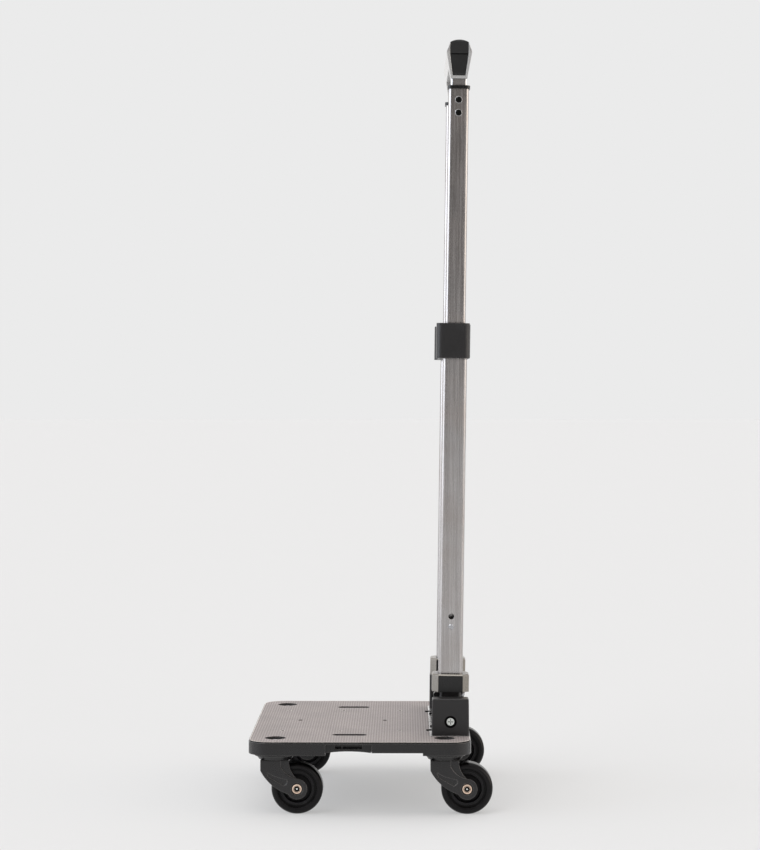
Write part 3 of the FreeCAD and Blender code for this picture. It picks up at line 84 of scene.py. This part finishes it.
class Graph:
    """Node tree of one material, with a Principled shader at its end."""

    def __init__(self, name, soft_edge=0.0004):
        self.material = bpy.data.materials.new(name)
        self.material.use_nodes = True
        self.tree = self.material.node_tree
        self.tree.nodes.clear()
        out = self.add("ShaderNodeOutputMaterial")
        self.shader = self.add("ShaderNodeBsdfPrincipled")
        self.join(self.shader.outputs["BSDF"], out.inputs["Surface"])
        self.place = self.add("ShaderNodeTexCoord").outputs["Object"]
        self.normal = self.edge = None
        if soft_edge:
            round_over = self.add("ShaderNodeBevel")
            round_over.samples = 6
            round_over.inputs["Radius"].default_value = soft_edge
            self.normal = self.edge = round_over.outputs["Normal"]

    def add(self, kind):
        """New node of a kind."""
        return self.tree.nodes.new(kind)

    def join(self, source, target):
        """Link an output to an input."""
        self.tree.links.new(source, target)

    def set(self, **values):
        """Uniform values, on the shader's own sockets."""
        for name, value in values.items():
            self.shader.inputs[name.replace("_", " ")].default_value = value

    def mapped(self, stretch=(1, 1, 1), shift=(0, 0, 0), turn=(0, 0, 0)):
        node = self.add("ShaderNodeMapping")
        node.inputs["Location"].default_value = shift
        node.inputs["Rotation"].default_value = turn
        node.inputs["Scale"].default_value = stretch
        self.join(self.place, node.inputs["Vector"])
        return node.outputs["Vector"]

    def noise(self, size, stretch=(1, 1, 1), detail=3.0, roughness=0.55):
        """Noise whose lumps are about size metres across."""
        node = self.add("ShaderNodeTexNoise")
        node.inputs["Scale"].default_value = 1 / size
        node.inputs["Detail"].default_value = detail
        node.inputs["Roughness"].default_value = roughness
        self.join(self.mapped(stretch), node.inputs["Vector"])
        return node.outputs["Fac"]

    def rings(self, centre, pitch):
        """Turned ridges about an axle along Y."""
        node = self.add("ShaderNodeTexWave")
        node.wave_type = "RINGS"
        node.rings_direction = "Y"
        node.inputs["Scale"].default_value = 2 * math.pi / (20 * pitch)
        self.join(self.mapped(shift=[-value for value in centre]), node.inputs["Vector"])
        return node.outputs["Fac"]

    def ramp(self, factor, low, high, start=0.3, end=0.7):
        node = self.add("ShaderNodeValToRGB")
        first, last = node.color_ramp.elements
        first.position, last.position = start, end
        first.color, last.color = low, high
        self.join(factor, node.inputs["Fac"])
        return node.outputs["Color"]

    def blend(self, factor, first, second, kind="MIX"):
        node = self.add("ShaderNodeMix")
        node.data_type = "RGBA"
        node.blend_type = kind
        ends = (factor, first, second)
        for socket, value in zip((node.inputs[0], node.inputs[6], node.inputs[7]), ends):
            if isinstance(value, (int, float, tuple)):
                socket.default_value = value
            else:
                self.join(value, socket)
        return node.outputs[2]

    def math(self, kind, *values):
        node = self.add("ShaderNodeMath")
        node.operation = kind
        for socket, value in zip(node.inputs, values):
            if isinstance(value, (int, float)):
                socket.default_value = value
            else:
                self.join(value, socket)
        return node.outputs["Value"]

    def spread(self, factor, low, high):
        """Middle of a noise's range, mapped to low and high."""
        node = self.add("ShaderNodeMapRange")
        node.inputs["From Min"].default_value = 0.3
        node.inputs["From Max"].default_value = 0.7
        node.inputs["To Min"].default_value = low
        node.inputs["To Max"].default_value = high
        self.join(factor, node.inputs["Value"])
        return node.outputs["Result"]

    def bump(self, height, depth):
        """Raise the surface by a height, on top of the bumps so far."""
        node = self.add("ShaderNodeBump")
        node.inputs["Strength"].default_value = 1.0
        node.inputs["Distance"].default_value = depth
        self.join(height, node.inputs["Height"])
        if self.normal:
            self.join(self.normal, node.inputs["Normal"])
        self.normal = node.outputs["Normal"]

    def recess_shade(self, colour, reach, dark=0.15):
        """Darken a colour in recesses and joints: painted shade, by how closed in each point is.
        """
        node = self.add("ShaderNodeAmbientOcclusion")
        node.samples = 6
        node.inputs["Distance"].default_value = reach
        open_air = self.ramp(node.outputs["AO"], (dark, dark, dark, 1), (1, 1, 1, 1), 0.25, 0.85)
        return self.blend(1.0, colour, open_air, "MULTIPLY")

    def painted_edge_highlight(self, colour, highlight_tone, amount):
        """Lighten a colour along the outer edges, where the surface turns: a painted highlight."""
        turn = self.add("ShaderNodeVectorMath")
        turn.operation = "DOT_PRODUCT"
        self.join(self.edge, turn.inputs[0])
        self.join(self.add("ShaderNodeNewGeometry").outputs["Normal"], turn.inputs[1])
        strip = self.ramp(turn.outputs["Value"], (amount, amount, amount, 1), (0, 0, 0, 1),
                          0.78, 0.985)
        return self.blend(strip, colour, highlight_tone)

    def upright(self):
        """One on flat tops, zero on walls."""
        split = self.add("ShaderNodeSeparateXYZ")
        self.join(self.add("ShaderNodeNewGeometry").outputs["True Normal"], split.inputs["Vector"])
        return self.ramp(split.outputs["Z"], (0, 0, 0, 1), (1, 1, 1, 1), 0.5, 0.9)

    def done(self, colour, roughness=None, recess_shade=0.004):
        """Join colour, roughness and normal to the shader, after a painted shade darkens the
        colour in recesses.
        """
        if recess_shade:
            colour = self.recess_shade(colour, recess_shade)
        self.join(colour, self.shader.inputs["Base Color"])
        if roughness:
            self.join(roughness, self.shader.inputs["Roughness"])
        if self.normal:
            self.join(self.normal, self.shader.inputs["Normal"])
        return self.material


def scaled(colour, factor):
    """Colour made lighter or darker."""
    return tuple(value * factor for value in colour[:3]) + (1.0,)


def moulded(name, colour, rough, grain, depth, soft_edge=0.0005, patch=0.03, change=0.12,
            edge_highlight=0.0, shine=0.5):
    """Moulded plastic: spark-eroded grain, faint flow patches, uneven gloss, and a painted
    highlight along outer edges when one is asked for.
    """
    graph = Graph(name, soft_edge)
    fine = graph.noise(grain, detail=2.0)
    wide = graph.noise(patch, detail=4.0)
    shade = graph.ramp(wide, scaled(colour, 1 - change), scaled(colour, 1 + change))
    shade = graph.blend(graph.spread(fine, 0.0, 0.35), shade, scaled(colour, 1.6))
    gloss = graph.math("ADD", graph.spread(wide, rough - 0.06, rough + 0.05),
                       graph.spread(fine, -0.05, 0.05))
    # Outer edges lightened: painted highlight.
    if edge_highlight:
        shade = graph.painted_edge_highlight(shade, tone(150, 147, 145), edge_highlight)
    graph.bump(fine, depth)
    graph.set(Specular_IOR_Level=shine)
    return graph.done(shade, gloss)


def brushed(name, colour, rough, stretch, depth=0.00001, soft_edge=0.0005, warm=None,
            contrast=0.10, metal=1.0, line=0.0005):
    """Metal drawn or brushed along one direction, with soft handling marks."""
    graph = Graph(name, soft_edge)
    lines = graph.noise(line, stretch, detail=4.0, roughness=0.7)
    wide = graph.noise(0.06, detail=3.0)
    shade = graph.ramp(lines, scaled(colour, 1 - contrast), scaled(colour, 1 + contrast))
    shade = graph.blend(graph.spread(wide, 0.0, 0.45), shade, warm or scaled(colour, 0.9))
    gloss = graph.math("ADD", graph.spread(lines, rough - 0.07, rough + 0.07),
                       graph.spread(wide, -0.03, 0.04))
    graph.bump(lines, depth)
    graph.set(Metallic=metal)
    return graph.done(shade, gloss)


def anti_slip(name):
    """Pale rubber sheet with staggered pits and a fine leathery grain."""
    graph = Graph(name, 0.0003)
    cells = graph.add("ShaderNodeTexVoronoi")
    cells.voronoi_dimensions = "2D"
    cells.inputs["Scale"].default_value = math.sqrt(2) / PIT_PITCH
    cells.inputs["Randomness"].default_value = 0.0
    graph.join(graph.mapped(turn=(0, 0, math.pi / 4)), cells.inputs["Vector"])
    pits = graph.ramp(cells.outputs["Distance"], (1, 1, 1, 1), (0, 0, 0, 1), 0.20, 0.34)
    grain = graph.noise(0.0009, detail=3.0)
    wide = graph.noise(0.05, detail=5.0)
    shade = graph.ramp(wide, tone(148, 140, 138), tone(172, 163, 161))
    shade = graph.blend(graph.spread(grain, 0.0, 0.3), shade, tone(140, 131, 128))
    # Pits painted dark: painted shade inside them.
    shade = graph.blend(graph.math("MULTIPLY", pits, 0.95), shade, tone(44, 39, 38))
    # Walls of the sheet, in its holes and slots, painted near-black: painted shade.
    shade = graph.blend(graph.upright(), tone(16, 15, 15), shade)
    gloss = graph.math("ADD", graph.spread(wide, 0.52, 0.64), graph.spread(grain, -0.05, 0.05))
    graph.bump(grain, 0.00006)
    graph.bump(graph.math("SUBTRACT", 1.0, pits), 0.0003)
    graph.set(Specular_IOR_Level=0.35)
    return graph.done(shade, gloss, 0.0025)


def wheel_rubber(name, centre):
    """Black tyre rubber, with the swell of its sidewall and a painted highlight band round it."""
    graph = Graph(name, 0.0005)
    rings = graph.rings(centre, SIDEWALL_WAVE)
    fine = graph.noise(0.0004, detail=2.0)
    wide = graph.noise(0.012, detail=4.0)
    shade = graph.ramp(wide, tone(5, 5, 5), tone(10, 9, 10))
    # Lighter band round the sidewall: painted highlight.
    shade = graph.blend(graph.spread(rings, 0.0, 0.8), shade, tone(27, 26, 27))
    gloss = graph.math("ADD", graph.spread(wide, 0.24, 0.34), graph.spread(fine, -0.05, 0.05))
    graph.bump(rings, 0.0012)
    graph.bump(fine, 0.00003)
    graph.set(Specular_IOR_Level=0.16)
    return graph.done(shade, gloss)


def wheel_hub(name, centre):
    """Black hub plastic, with turned ridges."""
    graph = Graph(name, 0.0003)
    rings = graph.rings(centre, HUB_RIDGE)
    fine = graph.noise(0.0003, detail=2.0)
    # Ridge crests painted lighter than the grooves: painted light and shade on the ridges.
    shade = graph.ramp(rings, tone(10, 9, 11), tone(30, 29, 31), 0.2, 0.8)
    gloss = graph.math("ADD", graph.spread(rings, 0.30, 0.42), graph.spread(fine, -0.05, 0.05))
    graph.bump(rings, 0.00025)
    graph.bump(fine, 0.00002)
    graph.set(Specular_IOR_Level=0.25)
    return graph.done(shade, gloss)


def silver_lacquer(name):
    """Silver paint with fine flake under a thin clear coat."""
    graph = Graph(name, 0.0008)
    flake = graph.noise(0.00025, detail=1.0)
    wide = graph.noise(0.04, detail=3.0)
    shade = graph.ramp(flake, tone(176, 176, 176), tone(218, 218, 218))
    shade = graph.blend(graph.spread(wide, 0.0, 0.3), shade, tone(200, 198, 195))
    gloss = graph.math("ADD", graph.spread(wide, 0.26, 0.34), graph.spread(flake, -0.06, 0.06))
    graph.bump(flake, 0.000006)
    graph.set(Metallic=0.75, Coat_Weight=0.4, Coat_Roughness=0.15)
    return graph.done(shade, gloss)


# Stretch of the noise that draws the lines of a brushed metal.
ALONG_Z = (1, 1, 0.012)
ALONG_Y = (1, 0.012, 1)
SLOTS = {
    "base_plastic": moulded("moulded_black", tone(20, 19, 20), 0.28, 0.0007, 0.00003, 0.0011,
                            edge_highlight=0.42),
    "anti_slip_sheet": anti_slip("anti_slip_rubber"),
    "bright_aluminium": brushed("bright_plate", tone(222, 222, 222), 0.26, ALONG_Y),
    "post_aluminium": brushed("drawn_post", tone(186, 184, 184), 0.25, ALONG_Z,
                              warm=tone(170, 160, 154), contrast=0.26, line=0.0018),
    "block_plastic": moulded("grained_block", tone(27, 26, 27), 0.38, 0.0009, 0.0001, 0.0008,
                             edge_highlight=0.42),
    "collar_metal": brushed("satin_collar", tone(142, 138, 132), 0.30, ALONG_Y),
    "trim_plastic": moulded("black_trim", tone(14, 14, 15), 0.30, 0.0006, 0.00003),
    "steel": brushed("zinc_steel", tone(185, 186, 190), 0.30, (1, 1, 1)),
    "screw_steel": brushed("bright_screw", tone(222, 226, 222), 0.22, (1, 1, 1), contrast=0.3,
                           metal=0.8),
    "black_rivet": moulded("black_fastener", tone(6, 6, 6), 0.34, 0.0004, 0.00001, 0.0002,
                           shine=0.15),
    "fork_plastic": moulded("fork_nylon", tone(24, 23, 24), 0.25, 0.0007, 0.00003, 0.0016,
                            edge_highlight=0.42),
    "axle_steel": brushed("yellow_zinc", tone(236, 210, 190), 0.30, (1, 1, 1),
                          warm=tone(214, 184, 160), metal=0.55),
    "chrome": brushed("polished_neck", tone(226, 226, 228), 0.16, ALONG_Z),
    "glide_nylon": moulded("natural_nylon", tone(214, 212, 204), 0.42, 0.0008, 0.00002),
    "grip_plastic": moulded("soft_grip", tone(20, 20, 21), 0.46, 0.0006, 0.00004),
    "silver_plastic": silver_lacquer("silver_lacquer"),
}
# Painted shade inside the screw wells and grip seams: black pieces set where there is only shade.
WELL_AND_SEAM_SHADE = moulded("screw_seat", tone(2, 2, 2), 0.5, 0.0005, 0.00002, 0, shine=0.05)
# Painted highlight along the deck sheet's cut edge and round its small holes, and the colour of
# its studs.
EDGE_HIGHLIGHT = moulded("sheet_edge_highlight", tone(205, 198, 192), 0.45, 0.0006, 0.00002, 0)
STUD_GREY = moulded("stud_grey", tone(96, 90, 88), 0.40, 0.0006, 0.00002, 0)
NODE_SLOTS = {entry["node"]: entry["material_slot"] for entry in RECORD["subparts"]}


def dress(piece, material):
    """Give a piece one material."""
    for place in piece.material_slots:
        place.material = material
    if not piece.material_slots:
        piece.data.materials.append(material)


for node, item in NODES.items():
    if NODE_SLOTS[node] in SLOTS:
        dress(item, SLOTS[NODE_SLOTS[node]])
for spot in SPOTS:
    centre = JOINTS[f"wheel_spin_{spot}"]["pos_m"]
    dress(NODES[f"wheel_tyre_{spot}"], wheel_rubber(f"tyre_{spot}", centre))
    dress(NODES[f"wheel_hub_{spot}"], wheel_hub(f"hub_{spot}", centre))


def lathe(name, profile, steps=48):
    """Mesh turned about +Z from (radius, height) pairs."""
    mesh = bpy.data.meshes.new(name)
    form = bmesh.new()
    loops = []
    for step in range(steps):
        angle = 2 * math.pi * step / steps
        loops.append([form.verts.new((radius * math.cos(angle), radius * math.sin(angle), height))
                      for radius, height in profile])
    for step in range(steps):
        here, after = loops[step], loops[(step + 1) % steps]
        for row in range(len(profile) - 1):
            form.faces.new((here[row], after[row], after[row + 1], here[row + 1]))
    bmesh.ops.remove_doubles(form, verts=form.verts, dist=1e-6)
    bmesh.ops.recalc_face_normals(form, faces=form.faces)
    for face in form.faces:
        face.smooth = True
    form.to_mesh(mesh)
    form.free()
    return mesh


def rod(length, radius, turns=6):
    """Profile of a round-ended rod along Z, about its middle."""
    quarter = [math.pi / 2 * step / turns for step in range(turns + 1)]
    cap = [(radius * math.cos(turn), length / 2 - radius + radius * math.sin(turn))
           for turn in quarter[:-1]] + [(0.0, length / 2)]
    return [(wide, -along) for wide, along in reversed(cap)] + cap


def show(name, mesh, body, material):
    """Make a mesh a piece of the object, riding on a body."""
    piece = bpy.data.objects.new(name, mesh)
    bpy.context.scene.collection.objects.link(piece)
    dress(piece, material)
    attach(piece, body)


def gather(name, mesh, frames, body, material):
    """One piece made of a mesh copied to several places."""
    whole = bmesh.new()
    for place in frames:
        copy = mesh.copy()
        copy.transform(place)
        whole.from_mesh(copy)
        bpy.data.meshes.remove(copy)
    target = bpy.data.meshes.new(name)
    whole.to_mesh(target)
    whole.free()
    show(name, target, body, material)


def facing(spot, direction):
    """Frame at a spot whose +Z points along a direction."""
    turn = Vector(direction).to_track_quat("Z", "Y").to_matrix().to_4x4()
    return Matrix.Translation(Vector(spot)) @ turn


def islands(node):
    """Box of each separate solid of a node, in order of their lowest corners."""
    form = bmesh.new()
    form.from_mesh(NODES[node].data)
    bmesh.ops.remove_doubles(form, verts=form.verts, dist=1e-6)
    unseen, boxes = set(form.verts), []
    while unseen:
        queue, found = [unseen.pop()], []
        while queue:
            vert = queue.pop()
            found.append(vert.co.copy())
            for edge in vert.link_edges:
                other = edge.other_vert(vert)
                if other in unseen:
                    unseen.remove(other)
                    queue.append(other)
        low = Vector([min(point[axis] for point in found) for axis in range(3)])
        high = Vector([max(point[axis] for point in found) for axis in range(3)])
        boxes.append((low, high))
    form.free()
    return sorted(boxes, key=lambda box: tuple(box[0]))


def sweep_path(name, points, radius, body, material):
    """Thin closed bead along a path, as a mesh."""
    curve = bpy.data.curves.new(name, "CURVE")
    curve.dimensions = "3D"
    curve.bevel_depth = radius
    curve.bevel_resolution = 3
    line = curve.splines.new("POLY")
    line.points.add(len(points) - 1)
    for slot_point, point in zip(line.points, points):
        slot_point.co = (*point, 1)
    line.use_cyclic_u = True
    holder = bpy.data.objects.new(name + "_path", curve)
    mesh = bpy.data.meshes.new_from_object(holder)
    bpy.data.objects.remove(holder)
    bpy.data.curves.remove(curve)
    for face in mesh.polygons:
        face.use_smooth = True
    show(name, mesh, body, material)


def oval(middle, half_x, half_y, corner, height, steps=12):
    """Points round a rounded rectangle, seen from above."""
    points = []
    for quarter, (sign_x, sign_y) in enumerate(((1, 1), (-1, 1), (-1, -1), (1, -1))):
        for step in range(steps + 1):
            angle = (quarter + step / steps) * math.pi / 2
            points.append((middle[0] + sign_x * (half_x - corner) + corner * math.cos(angle),
                           middle[1] + sign_y * (half_y - corner) + corner * math.sin(angle),
                           height))
    return points


# Deck sheet: a pale bead along its cut edge and a pale ring round each small hole, both painted
# highlight, and two studs.
sheet_low, sheet_high = (Vector(corner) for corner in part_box("deck_sheet"))
sheet_mid = (sheet_low + sheet_high) / 2
sweep_path("sheet_edge_highlight_bead",
           oval(sheet_mid, (sheet_high.x - sheet_low.x) / 2 - EDGE_RADIUS,
                (sheet_high.y - sheet_low.y) / 2 - EDGE_RADIUS, SHEET_CORNER - EDGE_RADIUS,
                sheet_high.z - EDGE_RADIUS / 2),
           EDGE_RADIUS, "base", EDGE_HIGHLIGHT)

MOUNTS = {mount["name"]: mount for mount in RECORD["mounts"]}
holes = []
for name in ("deck_fixing_holes", "deck_middle_holes"):
    mount = MOUNTS[name]
    half_x = mount["dims"].get("spacing_x_mm", 0) / 2000
    half_y = mount["dims"]["spacing_y_mm"] / 2000
    for x in sorted({-half_x, half_x}):
        for y in (-half_y, half_y):
            holes.append((mount["pos_m"][0] + x, mount["pos_m"][1] + y, sheet_high.z))
hole_radius = MOUNTS["deck_fixing_holes"]["dims"]["hole_r_mm"] / 1000
rim_highlight = lathe("rim_highlight", [(hole_radius + 0.0001, -0.0002), (hole_radius + 0.0002, 0.00008),
                          (hole_radius + 0.0006, 0.00010), (hole_radius + 0.0009, 0.0)], 40)
gather("hole_rim_highlights", rim_highlight, [Matrix.Translation(Vector(hole)) for hole in holes],
       "base", EDGE_HIGHLIGHT)

stud = lathe("stud", [(0.0, 0.0014), (0.0012, 0.0013), (0.0022, 0.0009), (0.0028, 0.0002),
                      (0.0030, -0.0003)], 32)
gather("sheet_studs", stud,
       [Matrix.Translation(Vector((sheet_mid.x + offset, 0, sheet_high.z)))
        for offset in STUD_OFFSETS],
       "base", STUD_GREY)

# Fine thread on the end of each kingpin, above its nut.
thread = []
for turn in range(THREAD_TURNS):
    thread += [(0.00505, -0.0016 + turn * THREAD_PITCH), (0.00535, -0.00135 + turn * THREAD_PITCH)]
threads = lathe("thread", thread + [(0.0048, 0.0010), (0.0, 0.0010)], 40)
tops = [Vector(((low.x + high.x) / 2, (low.y + high.y) / 2, high.z - THREAD_SINK))
        for low, high in islands("caster_kingpins")]
gather("kingpin_threads", threads, [Matrix.Translation(top) for top in tops],
       "base", SLOTS["steel"])

# Dark lining in each axle head's drive socket, painted shade, with a small bright pin at its
# bottom as a painted glint.
socket = lathe("socket", [(0.0044, 0.00170), (0.0043, 0.00176), (0.0035, 0.00165),
                          (0.0031, 0.0004), (0.0, 0.0004)], 32)
pin = lathe("pin", [(0.0013, 0.0005), (0.0012, 0.0011), (0.0007, 0.0013), (0.0, 0.0013)], 24)
for spot in SPOTS:
    low, high = (Vector(corner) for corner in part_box(f"wheel_axle_{spot}"))
    centre = (low + high) / 2
    ends = [facing((centre.x, high.y - AXLE_HEAD, centre.z), (0, 1, 0)),
            facing((centre.x, low.y + AXLE_HEAD, centre.z), (0, -1, 0))]
    gather(f"axle_socket_shades_{spot}", socket, ends, f"caster_{spot}",
           SLOTS["black_rivet"])
    gather(f"axle_glint_pins_{spot}", pin, ends, f"caster_{spot}", SLOTS["screw_steel"])

# Dark ring round the mouth of each pivot screw's well, on the block's face: painted shade of the
# well.
pivot = Vector(JOINTS["mast_fold"]["pos_m"])
seat = lathe("seat", [(0.0055, -0.0008), (0.0056, 0.00005), (0.0062, 0.00016), (0.0072, 0.00016),
                      (0.0077, 0.00008), (0.0079, -0.0002)], 48)
block_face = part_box("hinge_end_block_right")[1][1]
gather("pivot_well_shades", seat,
       [facing((pivot.x, sign * block_face, pivot.z), (0, sign, 0)) for sign in SIDES.values()],
       "base", WELL_AND_SEAM_SHADE)

# Dark seam between the top pad and the insert at each end of the grip: a black rod sunk in the
# gap, painted shade.
ACROSS_MAST = Vector(JOINTS["fold_tab_left_press"]["axis"])
for side, sign in SIDES.items():
    low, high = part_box(f"grip_end_insert_{side}")
    end_face = high[1] if sign > 0 else low[1]
    middle = ((low[0] + high[0]) / 2, end_face - sign * SEAM_RADIUS * SEAM_SINK, high[2])
    seam = lathe(f"seam_{side}", rod((high[0] - low[0]) * SEAM_SHARE, SEAM_RADIUS), 24)
    gather(f"grip_seam_shade_{side}", seam, [facing(middle, ACROSS_MAST)], "handle",
           WELL_AND_SEAM_SHADE)

# Thin bright rings round the neck rivets, on the inner tubes' outer faces: painted highlight.
ring = lathe("ring", [(0.00385, 0.0), (0.00390, 0.00025), (0.00420, 0.00035),
                      (0.00450, 0.00025), (0.00455, 0.0)], 40)
rivet_frames = []
for low, high in islands("neck_rivets"):
    middle = (low + high) / 2
    sign = 1 if middle.y > 0 else -1
    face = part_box("inner_tube_right")[1][1] * sign
    rivet_frames.append(facing((middle.x, face, middle.z), (0, sign, 0)))
gather("neck_rivet_highlight_rings", ring, rivet_frames, "handle", SLOTS["chrome"])

# Studio: pale floor, even surround that is darker on the viewer's side.
floor_mesh = bpy.data.meshes.new("floor")
floor_mesh.from_pydata([(sign_x * FLOOR_REACH, sign_y * FLOOR_REACH, 0)
                        for sign_x, sign_y in ((-1, -1), (1, -1), (1, 1), (-1, 1))],
                       [], [(0, 1, 2, 3)])
floor = bpy.data.objects.new("floor", floor_mesh)
bpy.context.scene.collection.objects.link(floor)
paper = Graph("studio_paper", 0)
paper.set(Specular_IOR_Level=0.0, Roughness=1.0, Emission_Color=(1, 1, 1, 1),
          Emission_Strength=FLOOR_GLOW)
mottle = paper.noise(0.4, detail=2.0)
paper.done(paper.ramp(mottle, scaled(FLOOR_TONE, 0.997), FLOOR_TONE), recess_shade=None)
dress(floor, paper.material)

world = bpy.data.worlds.new("studio")
bpy.context.scene.world = world
world.use_nodes = True
tree = world.node_tree
tree.nodes.clear()


def world_node(kind):
    return tree.nodes.new(kind)


facing_way = world_node("ShaderNodeTexCoord").outputs["Generated"]
glow = None
# Soft boxes: way that each lies, cosines where it starts and is full, colour.
for way, start, full, colour in (
        ((0.0, 0.0, 1.0), 0.25, 0.95, (0.62, 0.62, 0.62)),
        ((0.0, 1.0, 0.25), 0.30, 0.90, (0.80, 0.80, 0.80)),
        ((-1.0, -0.10, 0.25), 0.80, 0.96, (2.7, 2.85, 3.1)),
        ((1.0, -0.10, 0.25), 0.84, 0.96, (2.3, 2.1, 1.9)),
        ((-0.70, -1.0, 0.75), 0.965, 0.992, (4.5, 4.5, 4.5)),
        ((0.75, -1.0, 0.55), 0.975, 0.994, (3.2, 3.1, 3.0)),
        ((0.0, 0.0, -1.0), -2.0, -1.0, (0.17, 0.155, 0.145))):
    aim = world_node("ShaderNodeVectorMath")
    aim.operation = "DOT_PRODUCT"
    aim.inputs[1].default_value = Vector(way).normalized()
    tree.links.new(facing_way, aim.inputs[0])
    near = world_node("ShaderNodeMapRange")
    near.interpolation_type = "SMOOTHSTEP"
    near.inputs["From Min"].default_value = start
    near.inputs["From Max"].default_value = full
    tree.links.new(aim.outputs["Value"], near.inputs["Value"])
    part = world_node("ShaderNodeVectorMath")
    part.operation = "SCALE"
    part.inputs[0].default_value = colour
    tree.links.new(near.outputs["Result"], part.inputs["Scale"])
    if glow is None:
        glow = part.outputs["Vector"]
        continue
    both = world_node("ShaderNodeVectorMath")
    both.operation = "ADD"
    tree.links.new(glow, both.inputs[0])
    tree.links.new(part.outputs["Vector"], both.inputs[1])
    glow = both.outputs["Vector"]
light = world_node("ShaderNodeBackground")
tree.links.new(glow, light.inputs["Color"])
light.inputs["Strength"].default_value = 1.0
plain = world_node("ShaderNodeBackground")
plain.inputs["Color"].default_value = tone(BACKDROP, BACKDROP, BACKDROP)
seen = world_node("ShaderNodeLightPath")
choice = world_node("ShaderNodeMixShader")
tree.links.new(seen.outputs["Is Camera Ray"], choice.inputs["Fac"])
tree.links.new(light.outputs["Background"], choice.inputs[1])
tree.links.new(plain.outputs["Background"], choice.inputs[2])
tree.links.new(choice.outputs["Shader"], world_node("ShaderNodeOutputWorld").inputs["Surface"])

lamp_data = bpy.data.lights.new("overhead", "SUN")
lamp_data.angle = math.radians(LAMP_SPREAD)
lamp_data.energy = LAMP_ENERGY
lamp = bpy.data.objects.new("overhead", lamp_data)
lamp.matrix_world = facing((-0.5, -0.9, 2.6), (-0.15, -0.25, 1.0))
bpy.context.scene.collection.objects.link(lamp)

camera_data = bpy.data.cameras.new("camera")
camera_data.lens = CAMERA_LENS
camera_data.sensor_width = 36.0
camera_data.clip_end = 200.0
camera = bpy.data.objects.new("camera", camera_data)
camera.location = CAMERA_PLACE
camera.rotation_euler = (math.radians(90 - CAMERA_DIP), 0.0, math.radians(CAMERA_TURN))
bpy.context.scene.collection.objects.link(camera)
bpy.context.scene.camera = camera
bpy.context.scene.view_settings.view_transform = "Standard"
